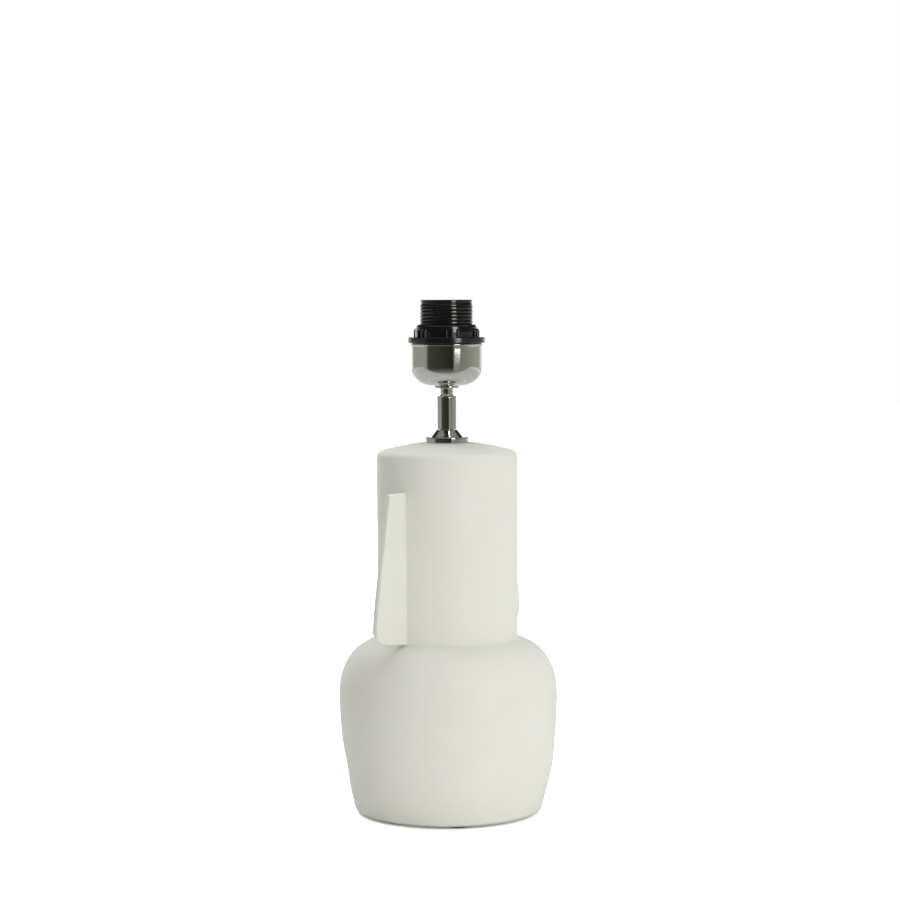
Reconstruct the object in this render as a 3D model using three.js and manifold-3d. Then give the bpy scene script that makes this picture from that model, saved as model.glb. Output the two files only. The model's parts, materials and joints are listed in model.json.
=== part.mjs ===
// Table lamp base: a matt slip-cast ceramic body with two upright fins on its neck, a chrome
// cap, a ball joint that levels the lampholder, and an E27 lampholder with its threaded sleeve
// and ribbed shade ring.
// Millimetres, +Z up. The origin is on the table, under the middle of the base. The fins stand
// along X and the cord leaves low at the back, along +Y.

import * as THREE from 'three';
import { mergeVertices } from 'three/addons/utils/BufferGeometryUtils.js';
import Module from 'manifold-3d';

const wasm = await Module();
wasm.setup();

// Clearances, shared by all pieces
const seatGap = 0.3;             // between two pieces that rest on each other
const fitGap = 0.3;              // radial, round a thread, a pin or the ball
const cutOverrun = 1;            // how far every cut runs past what it cuts

// Ceramic body, heights from its underside
const bellyRadius = 83.7;        // widest ring
const bellyHeight = 90;          // height of the widest ring
const footTaper = 11.2;          // how far the foot stands in from the widest ring
const footEdgeRadius = 3.5;      // rounding of the bottom edge
const footRingWidth = 24.5;      // from the outside in to the open mouth
const shoulderHeight = 42;       // rise of the shoulder curve above the widest ring
const shoulderReachShare = 1.21; // run of the whole curve, of which the neck cuts off the rest
const shoulderFullnessShare = 2.15; // exponent of the curve, 2 is an ellipse
const neckRadius = 54;
const neckWallHeight = 273.3;    // where the neck's wall starts to round over
const rimRadius = 3;             // rounding of the neck's rim
const rimSweepDegrees = 75;
const crownRise = 8.4;           // flat seat above the end of the neck's wall
const crownBulge = 1.1;          // how far the crown swells above a straight cone
const seatMargin = 2;            // flat seat round the cap
const ceramicWall = 6.5;
const crownWall = 7;
const innerRimRadius = 4;

// Fins, part of the ceramic body
const finThickness = 5.3;
const finLift = 0.4;             // underside of the fin above the end of the shoulder
const finUndersideRise = 4;      // how much the underside climbs towards the tip
const finTopDrop = 26.7;         // top of the fin below the end of the neck's wall
const finTopReach = 17.5;        // reach beyond the neck's wall at the top
const finLowReach = 33.8;        // widest reach beyond the neck's wall
const finBendHeight = 26;        // above the tip, where the outer edge starts to lean in
const finTipHeight = 10;         // rounded lower corner
const finTipRunShare = 0.48;     // of the underside, taken by the rounded corner
const finTopCornerRadius = 3;
const finEdgeShare = 0.19;       // soft edge all round, of the thickness
const finSkewDegrees = 1.4;      // one fin stands this much off the other's line

// Cord hole and its grommet
const cordRise = 1.7;            // grommet's lip above the foot inside
const cordHoleRadius = 5;
const grommetWall = 1.5;
const grommetLipReach = 1.5;     // beyond the hole, inside
const grommetFlangeReach = 3;    // beyond the hole, outside
const grommetFlangeThickness = 1.6;

// Felt pads
const padRadius = 8;
const padThickness = 1.5;
const padCount = 4;

// Cap on the neck
const capRadius = 16.95;
const capFlangeHeight = 4;
const capEdgeRadius = 0.8;
const capBossRadius = 11.5;
const capBossHeight = 1.8;       // upright side of the boss above the flange
const capConeHeight = 3.6;
const capWall = 1.2;
const gasketThickness = 1;

// Fixing inside the neck
const rodRadius = 4.9;           // hollow M10 rod
const rodWall = 1.4;
const rodHeadroom = 2.3;         // above it, below the ledge in the housing
const rodTail = 3;               // what shows below the nut
const rodPlay = 0.9;             // in the hole through the crown
const clampWasherRadius = 21;
const clampWasherThickness = 2;
const washerMargin = 2;          // flat ceiling round the washer
const lockWasherRadius = 8.5;
const lockWasherThickness = 1;
const nutAcrossFlats = 14;
const nutHeight = 5;
const nutSideCount = 6;

// Ball joint
const ballRadius = 6;
const ballHeight = 22.9;         // ball's centre above the foot of the housing
const housingWall = 1.1;         // round the ball
const mouthRise = 2.6;           // lip above the ball's centre
const lipLandWidth = 0.45;       // flat ring at the lip, outside the mouth
const lipChamferHeight = 1;
const seatScrewHeight = 4;
const discSpringHeight = 1.1;
const discSpringThickness = 0.6;
const ballSeatWidth = 2.2;       // width of the seat, its spring and its screw
const ballSeatHeight = 1.6;      // upright wall of the seat's bore
const stemNeckRadius = 4.5;
const stemShoulderWidth = 0.5;   // beyond the bore of the collar it carries
const stemShoulderRise = 8.4;    // shoulder above the ball's centre
const stemFlareHeight = 1.6;
const stemShoulderLand = 0.4;
const stemThreadLength = 10;
const stemBoreRadius = 2.6;
const collarRadius = 9.5;
const collarThickness = 1.7;
const collarEdgeRadius = 0.5;

// Lampholder cup, with the bush inside it
const cupCornerRadius = 16;
const cupWall = 1;
const bushFlangeMargin = 0.2;    // beyond the earth screw's head
const bushFlangeThickness = 1.6;
const bushRadius = 7.2;
const bushHeight = 8;
const grubRadius = 1.6;
const grubHeadroom = 0.4;        // how far the grub screw stands out of the bush
const earthHeadRadius = 1.9;
const earthHeadHeight = 1.4;
const earthShankRadius = 1.2;

// Terminal block and its brass
const blockHeight = 15.4;
const blockBoreRadius = 4.5;
const pocketFloor = 3.1;         // above the block's underside
const pocketHeight = 8;
const pocketWidth = 10.4;
const pocketInner = 3;           // from the axis
const terminalInner = 5.2;       // from the axis
const terminalInset = 3.5;       // from the block's side
const terminalWidth = 7;
const wireHoleRadius = 1.5;
const wireHoleInset = 4.5;       // from the terminal's outer end
const terminalScrewRadius = 1.4;
const terminalHeadRadius = 2.4;
const terminalHeadHeight = 1.8;
const rivetRadius = 1.2;
const rivetHeadRadius = 1.8;
const rivetHeadHeight = 0.5;

// E27 shell and centre contact
const shellRadius = 14;
const shellWall = 0.8;
const shellHeadroom = 4;         // above it, below the sleeve's lip
const shellFlangeWidth = 5;
const tongueKnee = 1;            // past the axis
const tongueTip = 4.2;           // past the axis
const tongueRise = 3.6;
const tongueThickness = 0.5;
const tongueWidth = 5;

// Outer sleeve
const sleevePlay = 2.6;          // round the shell
const sleeveWall = 3.1;
const sleeveHeight = 33;         // above its shoulder
const sleeveLipHeight = 4.3;
const sleeveTopRounding = 0.8;
const sleeveShoulderWidth = 6.8; // seat of the shade, outside the sleeve
const ledgeThickness = 6.7;      // holds the terminal block down
const skirtWall = 4.2;
const skirtFootRise = 0.6;       // skirt's foot above the cup's rounded corner
const skirtPlay = 1.8;           // round the terminal block

// Shade ring
const ringFlangeReach = 4;       // beyond the ribs
const ringFlangeHeight = 4.3;
const ringEdgeRadius = 0.8;
const ringCollarWall = 3.8;
const ringRibDepth = 1.6;
const ringRibHeight = 4.7;       // upright part of the ribs
const ringCollarHeight = 9.6;
const ringTopWidth = 2.5;
const ribWidth = 1.7;
const ribPitchDegrees = 10;
const ribTurnDegrees = 48;       // from +X to the first group's middle
const ribCount = 3;              // in a group
const ribGroupCount = 6;

// Facets
const bodyFacets = 48;
const fittingFacets = 38;
const jointFacets = 26;
const smallFacets = 16;
const arcSteps = 3;
const edgeSteps = 2;
const cupSteps = 5;
const flankSteps = 5;
const shoulderSteps = 7;
const crownSteps = 3;
const ballSteps = 7;

// Ceramic body, worked out from the sizes
const footRadius = bellyRadius - footTaper;
const mouthRadius = footRadius - footRingWidth;
const crownHeight = neckWallHeight + crownRise;
const seatRadius = capRadius + seatMargin;
const rodHoleRadius = rodRadius + rodPlay;
const finEdgeRadius = finThickness * finEdgeShare;
const grommetLipRadius = cordHoleRadius + grommetLipReach;
const grommetFlangeRadius = cordHoleRadius + grommetFlangeReach;
const grommetBoreRadius = cordHoleRadius - fitGap - grommetWall;
const cordHeight = ceramicWall + seatGap + grommetLipRadius + cordRise;

// Heights above the table
const ceramicBase = padThickness + seatGap;
const seatLevel = ceramicBase + crownHeight;
const ceilingLevel = seatLevel - crownWall;
const capHeight = capFlangeHeight + capBossHeight + capConeHeight;
const housingBase = seatLevel + seatGap + capHeight + seatGap;
const ballLevel = housingBase + ballHeight;

// Ball joint, heights above the foot of its housing
const threadBore = rodRadius + fitGap;
const ballCavity = ballRadius + fitGap;
const ballMouth = Math.sqrt(ballCavity ** 2 - mouthRise ** 2);
const housingRadius = ballCavity + housingWall;
const stackRadius = ballCavity - fitGap;
const stackBore = stackRadius - ballSeatWidth;
const seatBase = ballHeight - Math.sqrt(ballCavity ** 2 - stackBore ** 2) - ballSeatHeight;
const springBase = seatBase - seatGap - discSpringHeight;
const seatScrewBase = springBase - seatGap - seatScrewHeight;
const housingLedge = seatScrewBase - seatGap;
const stemShoulderRadius = threadBore + stemShoulderWidth;

// Lampholder, radii from the shell outwards
const sleeveBore = shellRadius + sleevePlay;
const sleeveRadius = sleeveBore + sleeveWall;
const skirtOuter = sleeveRadius + sleeveShoulderWidth;
const skirtInner = skirtOuter - skirtWall;
const blockRadius = skirtInner - skirtPlay;
const cupRadius = skirtOuter + fitGap + cupWall;
const cupFlatRadius = cupRadius - cupCornerRadius;
const earthPlace = bushRadius + fitGap + earthHeadRadius;
const bushFlangeRadius = earthPlace + earthHeadRadius + bushFlangeMargin;
const terminalOuter = blockRadius - terminalInset;
const wireHolePlace = terminalOuter - wireHoleInset;
const shellFlangeInner = shellRadius - shellFlangeWidth;
const shellRivetPlace = (shellFlangeInner + shellRadius - shellWall) / 2;
const contactRivetPlace = shellFlangeInner - fitGap - rivetHeadRadius;
const tongueRoot = contactRivetPlace - rivetHeadRadius - fitGap;
const ringBore = sleeveRadius + fitGap;
const ringCollarRadius = ringBore + ringCollarWall;
const ringRibRadius = ringCollarRadius + ringRibDepth;
const ringFlangeRadius = ringRibRadius + ringFlangeReach;

// Lampholder, heights above the ball's centre
const collarBase = stemShoulderRise + seatGap;
const cupBase = collarBase + collarThickness + seatGap;
const bushBase = cupBase + cupWall + seatGap;
const blockBase = bushBase + bushHeight + seatGap;
const blockTop = blockBase + blockHeight;
const pocketBase = blockBase + pocketFloor;
const terminalBase = pocketBase + seatGap;
const terminalHeight = pocketHeight - 2 * seatGap;
const terminalTop = terminalBase + terminalHeight;
const shellBase = blockTop + seatGap;
const shoulderLevel = shellBase + ledgeThickness;
const cupRim = shoulderLevel - seatGap;
const skirtBase = cupBase + cupCornerRadius + skirtFootRise;
const grubLevel = bushBase + (bushHeight + bushFlangeThickness) / 2;
const sleeveTop = shoulderLevel + sleeveHeight;
const lipBase = sleeveTop - sleeveLipHeight;
const shellTop = lipBase - shellHeadroom;
const ringBase = shoulderLevel + seatGap;

// Shape helpers

function degrees(angle) {
  return THREE.MathUtils.degToRad(angle);
}

// Points [radius, height] on an arc about a centre, from one angle to another.
function arc(centreR, centreZ, radius, from, to, steps) {
  const points = [];
  for (let i = 0; i <= steps; i++) {
    const angle = degrees(from + (to - from) * i / steps);
    points.push([centreR + radius * Math.cos(angle), centreZ + radius * Math.sin(angle)]);
  }
  return points;
}

// Leaves position and index only, merges shared corners, drops triangles with no area
// and turns the faces outwards.
function tidy(geometry) {
  const bare = new THREE.BufferGeometry();
  bare.setAttribute('position', geometry.getAttribute('position'));
  bare.setIndex(geometry.getIndex());
  const merged = mergeVertices(bare);
  const spot = merged.getAttribute('position');
  const corners = merged.getIndex().array;
  const kept = [];
  let volume = 0;
  const [a, b, c] = [new THREE.Vector3(), new THREE.Vector3(), new THREE.Vector3()];
  for (let i = 0; i < corners.length; i += 3) {
    const [p, q, r] = [corners[i], corners[i + 1], corners[i + 2]];
    if (p === q || q === r || r === p) continue;
    a.fromBufferAttribute(spot, p);
    b.fromBufferAttribute(spot, q);
    c.fromBufferAttribute(spot, r);
    volume += a.dot(b.cross(c));
    kept.push([p, q, r]);
  }
  const order = volume < 0 ? kept.map(([p, q, r]) => [p, r, q]) : kept;
  merged.setIndex(order.flat());
  return merged;
}

function solid(geometry) {
  const clean = tidy(geometry);
  return new wasm.Manifold(new wasm.Mesh({
    numProp: 3,
    vertProperties: new Float32Array(clean.getAttribute('position').array),
    triVerts: new Uint32Array(clean.getIndex().array),
  }));
}

function surface(shape) {
  const mesh = shape.getMesh();
  const geometry = new THREE.BufferGeometry();
  geometry.setAttribute('position', new THREE.BufferAttribute(new Float32Array(mesh.vertProperties), 3));
  geometry.setIndex(Array.from(mesh.triVerts));
  return geometry;
}

// A turned piece: the outline [radius, height] goes round the Z axis.
function turned(outline, facets) {
  const points = outline.map(([r, z]) => new THREE.Vector2(r, z));
  return new THREE.LatheGeometry(points, facets).rotateX(Math.PI / 2);
}

// A turned piece whose outline is a ring, which closes on itself.
function turnedRing(outline, facets) {
  return turned([...outline, outline[0]], facets);
}

function washer(inner, outer, low, high, facets) {
  return turnedRing([[inner, low], [outer, low], [outer, high], [inner, high]], facets);
}

function rod(radius, low, high, facets) {
  return turned([[0, low], [radius, low], [radius, high], [0, high]], facets);
}

function block(sizeX, sizeY, sizeZ, x, y, z) {
  return new THREE.BoxGeometry(sizeX, sizeY, sizeZ).translate(x, y, z);
}

// An outline of [x, y] points drawn up along Z.
function drawnUp(shape, height, settings = {}) {
  return new THREE.ExtrudeGeometry(shape, { depth: height, bevelEnabled: false, ...settings });
}

// Ceramic body

// Radius of the flank below the widest ring, at a height, on a skin set in from the outside.
// It is an arc that stands upright at the widest ring.
function flankRadius(height, inset) {
  const drop = bellyHeight - footEdgeRadius;
  const spread = bellyRadius - footRadius;
  const bend = (drop ** 2 + spread ** 2) / (2 * spread);
  return bellyRadius - inset - bend + Math.sqrt(bend ** 2 - (bellyHeight - height) ** 2);
}

function flank(fromHeight, inset, steps) {
  const points = [];
  for (let i = 0; i <= steps; i++) {
    const height = fromHeight + (bellyHeight - fromHeight) * i / steps;
    points.push([flankRadius(height, inset), height]);
  }
  return points;
}

// Shoulder from the widest ring in to the neck, a little fuller than an ellipse. Steps are
// even in the angle of the curve, so they crowd where it turns.
function shoulder(inset, steps) {
  const power = shoulderFullnessShare;
  const rise = shoulderHeight - inset;
  const reach = (bellyRadius - neckRadius) * shoulderReachShare;
  const stop = (1 - (1 - 1 / shoulderReachShare) ** power) ** (1 / power);
  const points = [];
  for (let i = 1; i <= steps; i++) {
    const share = stop * Math.sin(Math.PI / 2 * i / steps);
    const drop = reach * (1 - (1 - share ** power) ** (1 / power));
    points.push([bellyRadius - inset - drop, bellyHeight + rise * share]);
  }
  return points;
}

// Crown from the rounded rim up to the flat seat.
function crown() {
  const rim = arc(neckRadius - rimRadius, neckWallHeight, rimRadius, 0, rimSweepDegrees, edgeSteps);
  const [startR, startZ] = rim[rim.length - 1];
  const points = [...rim];
  for (let i = 1; i <= crownSteps; i++) {
    const share = i / crownSteps;
    const swell = crownBulge * 4 * share * (1 - share);
    points.push([startR + (seatRadius - startR) * share, startZ + (crownHeight - startZ) * share + swell]);
  }
  return points;
}

function ceramicShell() {
  const ceiling = crownHeight - crownWall;
  const wallTop = neckWallHeight - crownWall;
  const inside = [
    [0, ceiling],
    [clampWasherRadius + washerMargin, ceiling],
    ...arc(neckRadius - ceramicWall - innerRimRadius, wallTop, innerRimRadius, 90, 0, edgeSteps),
    ...shoulder(ceramicWall, shoulderSteps - 2).reverse(),
    ...flank(ceramicWall, ceramicWall, arcSteps).reverse(),
    [mouthRadius, ceramicWall],
  ];
  const outside = [
    [mouthRadius, 0],
    ...arc(footRadius - footEdgeRadius, footEdgeRadius, footEdgeRadius, -90, 0, edgeSteps),
    ...flank(footEdgeRadius, 0, flankSteps).slice(1),
    ...shoulder(0, shoulderSteps),
    ...crown(),
    [0, crownHeight],
  ];
  return turned([...inside, ...outside], bodyFacets);
}

// Height at which the shoulder meets the neck.
function neckFoot() {
  const points = shoulder(0, shoulderSteps);
  return points[points.length - 1][1];
}

// A fin stands along X. Its underside climbs a little and rounds up into the outer edge,
// which is upright low down and leans in to the top.
function fin() {
  const root = neckRadius - ceramicWall / 2;
  const low = neckFoot() + finLift;
  const high = neckWallHeight - finTopDrop;
  const wide = neckRadius + finLowReach;
  const narrow = neckRadius + finTopReach;
  const shape = new THREE.Shape();
  const tip = low + finUndersideRise;
  const straight = 1 - finTipRunShare;
  shape.moveTo(root, low);
  shape.lineTo(root + (wide - root) * straight, low + finUndersideRise * straight);
  shape.quadraticCurveTo(wide, tip, wide, tip + finTipHeight);
  shape.quadraticCurveTo(wide, tip + finBendHeight, narrow, high - finTopCornerRadius);
  shape.quadraticCurveTo(narrow, high, narrow - finTopCornerRadius, high);
  shape.lineTo(root, high);
  const depth = finThickness - 2 * finEdgeRadius;
  const geometry = drawnUp(shape, depth, {
    bevelEnabled: true,
    bevelThickness: finEdgeRadius,
    bevelSize: finEdgeRadius,
    bevelOffset: -finEdgeRadius,
    bevelSegments: edgeSteps,
    curveSegments: flankSteps,
  });
  return geometry.translate(0, 0, -depth / 2).rotateX(Math.PI / 2);
}

// A bar along +Y at the height of the cord hole.
function cordBar(radius) {
  const bar = rod(radius, 0, bellyRadius + cutOverrun, smallFacets);
  return solid(bar.rotateX(-Math.PI / 2).translate(0, 0, cordHeight));
}

function ceramicBody() {
  const rodHole = solid(rod(rodHoleRadius, crownHeight - crownWall - cutOverrun,
    crownHeight + cutOverrun, smallFacets));
  return surface(solid(ceramicShell())
    .add(solid(fin().rotateZ(-degrees(finSkewDegrees))))
    .add(solid(fin().rotateZ(Math.PI)))
    .subtract(rodHole)
    .subtract(cordBar(cordHoleRadius)));
}

// Solid drum with the belly's flank as its side, round the height of the cord hole.
function flankDrum(inset) {
  const low = cordHeight - grommetFlangeRadius - cutOverrun;
  const high = cordHeight + grommetFlangeRadius + cutOverrun;
  const side = [];
  for (let i = 0; i <= edgeSteps; i++) {
    const height = low + (high - low) * i / edgeSteps;
    side.push([flankRadius(height, inset), height]);
  }
  return solid(turned([[0, low], ...side, [0, high]], bodyFacets));
}

// The grommet's flange and lip follow the curved wall on both sides.
function cordGrommet() {
  const skin = (near, far) => flankDrum(-far).subtract(flankDrum(-near));
  const outerFar = seatGap + grommetFlangeThickness;
  const innerNear = -ceramicWall - seatGap;
  const innerFar = innerNear - grommetFlangeThickness;
  const flange = cordBar(grommetFlangeRadius).intersect(skin(seatGap, outerFar));
  const lip = cordBar(grommetLipRadius).intersect(skin(innerFar, innerNear));
  const core = cordBar(cordHoleRadius - fitGap).intersect(skin(innerFar, outerFar));
  return surface(flange.add(lip).add(core).subtract(cordBar(grommetBoreRadius)));
}

// Cap and fixing

// Heights from the cap's underside. It is a stepped shell, hollow underneath.
function neckCap() {
  const flangeTop = capFlangeHeight;
  const bossTop = flangeTop + capBossHeight;
  const recess = gasketThickness + seatGap;
  const boss = capBossRadius - capWall;
  return turnedRing([
    [capRadius - capWall, 0],
    [capRadius, 0],
    ...arc(capRadius - capEdgeRadius, flangeTop - capEdgeRadius, capEdgeRadius, 0, 90, edgeSteps),
    [capBossRadius, flangeTop],
    [capBossRadius, bossTop],
    [housingRadius + fitGap, capHeight],
    [threadBore, capHeight],
    [threadBore, capHeight - capWall],
    [housingRadius + fitGap - capWall, capHeight - capWall],
    [boss, bossTop - capWall],
    [boss, Math.max(recess, flangeTop - capWall)],
    [capRadius - capWall, Math.max(recess, flangeTop - capWall)],
  ], fittingFacets);
}

function capGasket() {
  return washer(rodHoleRadius, capRadius - capWall - fitGap, 0, gasketThickness, fittingFacets);
}

function clampNut() {
  const corner = nutAcrossFlats / 2 / Math.cos(Math.PI / nutSideCount);
  const hex = solid(rod(corner, 0, nutHeight, nutSideCount));
  const bore = solid(rod(threadBore, -cutOverrun, nutHeight + cutOverrun, smallFacets));
  return surface(hex.subtract(bore));
}

// Ball joint

// Heights from the housing's foot. The mouth is narrower than the ball and keeps it in.
function swivelHousing() {
  const lip = ballHeight + mouthRise;
  const mouthDegrees = THREE.MathUtils.radToDeg(Math.asin(mouthRise / ballCavity));
  return turnedRing([
    [threadBore, 0],
    [housingRadius, 0],
    [housingRadius, lip - lipChamferHeight],
    [ballMouth + lipLandWidth, lip],
    ...arc(0, ballHeight, ballCavity, mouthDegrees, 0, edgeSteps),
    [ballCavity, housingLedge],
    [threadBore, housingLedge],
  ], jointFacets);
}

// The ring that carries the ball, hollowed to the ball's curve.
function ballSeat() {
  const depthAt = (radius) => -THREE.MathUtils.radToDeg(Math.acos(radius / ballCavity));
  return turnedRing([
    [stackBore, seatBase],
    [stackRadius, seatBase],
    ...arc(0, ballHeight, ballCavity, depthAt(stackRadius), depthAt(stackBore), arcSteps),
  ], jointFacets);
}

// A coned spring ring that presses the seat up.
function discSpring() {
  return turnedRing([
    [stackBore, springBase + discSpringHeight - discSpringThickness],
    [stackRadius, springBase],
    [stackRadius, springBase + discSpringThickness],
    [stackBore, springBase + discSpringHeight],
  ], jointFacets);
}

// Heights from the ball's centre. One turned piece: ball, waist, shoulder and hollow thread.
function ballStem() {
  const angleAt = (radius) => THREE.MathUtils.radToDeg(Math.acos(radius / ballRadius));
  const flareBase = stemShoulderRise - stemShoulderLand - stemFlareHeight;
  const flare = [];
  for (let i = 0; i <= arcSteps; i++) {
    const share = i / arcSteps;
    const spread = (stemShoulderRadius - stemNeckRadius) * share ** 2;
    flare.push([stemNeckRadius + spread, flareBase + stemFlareHeight * share]);
  }
  return turnedRing([
    ...arc(0, 0, ballRadius, -angleAt(stemBoreRadius), angleAt(stemNeckRadius), ballSteps),
    ...flare,
    [stemShoulderRadius, stemShoulderRise],
    [rodRadius, stemShoulderRise],
    [rodRadius, stemShoulderRise + stemThreadLength],
    [stemBoreRadius, stemShoulderRise + stemThreadLength],
  ], jointFacets);
}

function stemCollar() {
  const top = collarBase + collarThickness;
  const edge = collarRadius - collarEdgeRadius;
  return turnedRing([
    [threadBore, collarBase],
    ...arc(edge, collarBase + collarEdgeRadius, collarEdgeRadius, -90, 0, edgeSteps),
    ...arc(edge, top - collarEdgeRadius, collarEdgeRadius, 0, 90, edgeSteps),
    [threadBore, top],
  ], jointFacets);
}

// Lampholder

function holderCup() {
  const centre = cupBase + cupCornerRadius;
  return turnedRing([
    [threadBore, cupBase],
    ...arc(cupFlatRadius, centre, cupCornerRadius, -90, 0, cupSteps),
    [cupRadius, cupRim],
    [cupRadius - cupWall, cupRim],
    ...arc(cupFlatRadius, centre, cupCornerRadius - cupWall, 0, -90, cupSteps),
    [threadBore, cupBase + cupWall],
  ], fittingFacets);
}

function entryBush() {
  const top = bushBase + bushHeight;
  const body = turnedRing([
    [threadBore, bushBase],
    [bushFlangeRadius, bushBase],
    [bushFlangeRadius, bushBase + bushFlangeThickness],
    [bushRadius, bushBase + bushFlangeThickness],
    [bushRadius, top],
    [threadBore, top],
  ], jointFacets);
  const grubHole = rod(grubRadius + fitGap, 0, bushRadius + cutOverrun, smallFacets);
  const earthHole = rod(earthShankRadius + fitGap, bushBase - cutOverrun,
    bushBase + bushFlangeThickness + cutOverrun, smallFacets);
  return surface(solid(body)
    .subtract(solid(grubHole.rotateX(-Math.PI / 2).translate(0, 0, grubLevel)))
    .subtract(solid(earthHole.translate(0, -earthPlace, 0))));
}

function grubScrew() {
  return rod(grubRadius, threadBore, bushRadius + grubHeadroom, smallFacets)
    .rotateX(-Math.PI / 2)
    .translate(0, 0, grubLevel);
}

// Pan-headed screw, head up, with its seat at height zero.
function screw(headRadius, headHeight, shankRadius, shankLength) {
  return turned([
    [0, -shankLength],
    [shankRadius, -shankLength],
    [shankRadius, 0],
    [headRadius, 0],
    [headRadius, headHeight],
    [0, headHeight],
  ], smallFacets);
}

function earthScrew() {
  return screw(earthHeadRadius, earthHeadHeight, earthShankRadius, bushFlangeThickness)
    .translate(0, -earthPlace, bushBase + bushFlangeThickness + seatGap);
}

// The block is open to both sides, with one pocket for each terminal.
function terminalBlock() {
  const reach = blockRadius + cutOverrun - pocketInner;
  const pocket = (side) => block(reach, pocketWidth, pocketHeight,
    side * (pocketInner + reach / 2), 0, pocketBase + pocketHeight / 2);
  const rivetHole = (place) => rod(rivetRadius + fitGap, pocketBase, blockTop + cutOverrun, smallFacets)
    .translate(place, 0, 0);
  const bore = rod(blockBoreRadius, blockBase - cutOverrun, pocketBase + pocketHeight, jointFacets);
  return surface(solid(rod(blockRadius, blockBase, blockTop, jointFacets))
    .subtract(solid(bore))
    .subtract(solid(pocket(1)))
    .subtract(solid(pocket(-1)))
    .subtract(solid(rivetHole(contactRivetPlace)))
    .subtract(solid(rivetHole(-shellRivetPlace))));
}

// Brass block along +X with a wire hole from below and a screw hole from outside.
function terminal() {
  const middle = terminalBase + terminalHeight / 2;
  const body = block(terminalOuter - terminalInner, terminalWidth, terminalHeight,
    (terminalInner + terminalOuter) / 2, 0, middle);
  const wireHole = rod(wireHoleRadius, terminalBase - cutOverrun, middle + wireHoleRadius, smallFacets)
    .translate(wireHolePlace, 0, 0);
  const screwHole = rod(terminalScrewRadius + fitGap, wireHolePlace, terminalOuter + cutOverrun, smallFacets)
    .rotateY(Math.PI / 2)
    .translate(0, 0, middle);
  return surface(solid(body).subtract(solid(wireHole)).subtract(solid(screwHole)));
}

function terminalScrew() {
  const length = terminalOuter - wireHolePlace - wireHoleRadius;
  return screw(terminalHeadRadius, terminalHeadHeight, terminalScrewRadius, length)
    .rotateY(Math.PI / 2)
    .translate(terminalOuter + seatGap, 0, terminalBase + terminalHeight / 2);
}

// Rivet from a seat down to just above the terminal.
function rivet(seat) {
  return screw(rivetHeadRadius, rivetHeadHeight, rivetRadius, seat - terminalTop - seatGap)
    .translate(0, 0, seat);
}

function screwShell() {
  const flangeTop = shellBase + shellWall;
  const body = turnedRing([
    [shellFlangeInner, shellBase],
    [shellRadius, shellBase],
    [shellRadius, shellTop],
    [shellRadius - shellWall, shellTop],
    [shellRadius - shellWall, flangeTop],
    [shellFlangeInner, flangeTop],
  ], fittingFacets);
  const hole = rod(rivetRadius + fitGap, shellBase - cutOverrun, flangeTop + cutOverrun, smallFacets);
  return surface(solid(body).subtract(solid(hole.translate(-shellRivetPlace, 0, 0))));
}

// Sprung tongue, seen from the side as a ramp with a level tip.
function centreContact() {
  const shape = new THREE.Shape();
  shape.moveTo(tongueRoot, 0);
  shape.lineTo(tongueRoot, tongueThickness);
  shape.lineTo(-tongueKnee, tongueRise + tongueThickness);
  shape.lineTo(-tongueTip, tongueRise + tongueThickness);
  shape.lineTo(-tongueTip, tongueRise);
  shape.lineTo(-tongueKnee, tongueRise);
  return drawnUp(shape, tongueWidth)
    .translate(0, 0, -tongueWidth / 2)
    .rotateX(Math.PI / 2)
    .translate(0, 0, shellBase);
}

// The sleeve's skirt screws into the cup, its ledge holds the block down, and its shoulder
// carries the shade ring.
function holderSleeve() {
  const lip = shellRadius + fitGap;
  const edge = sleeveRadius - sleeveTopRounding;
  return turnedRing([
    [skirtInner, skirtBase],
    [skirtOuter, skirtBase],
    [skirtOuter, shoulderLevel],
    [sleeveRadius, shoulderLevel],
    ...arc(edge, sleeveTop - sleeveTopRounding, sleeveTopRounding, 0, 90, edgeSteps),
    [lip, sleeveTop],
    [lip, lipBase],
    [sleeveBore, lipBase],
    [sleeveBore, shellBase],
    [skirtInner, shellBase],
  ], fittingFacets);
}

// Plan of the ring's collar: a round wall with groups of upright grip ribs.
function ribbedPlan() {
  const half = Math.asin(ribWidth / 2 / ringCollarRadius);
  const crestHalf = half / 2;
  const groupTurn = 2 * Math.PI / ribGroupCount;
  const pitch = degrees(ribPitchDegrees);
  const spread = (ribCount - 1) * pitch;
  const points = [];
  const put = (radius, angle) => {
    points.push(new THREE.Vector2(radius * Math.cos(angle), radius * Math.sin(angle)));
  };
  for (let group = 0; group < ribGroupCount; group++) {
    const first = degrees(ribTurnDegrees) + group * groupTurn - spread / 2;
    for (let rib = 0; rib < ribCount; rib++) {
      const angle = first + rib * pitch;
      put(ringCollarRadius, angle - half);
      put(ringRibRadius, angle - crestHalf);
      put(ringRibRadius, angle + crestHalf);
      put(ringCollarRadius, angle + half);
    }
    const plain = groupTurn - spread - 2 * half;
    for (let step = 1; step < flankSteps; step++) {
      put(ringCollarRadius, first + spread + half + plain * step / flankSteps);
    }
  }
  return new THREE.Shape(points);
}

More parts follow.
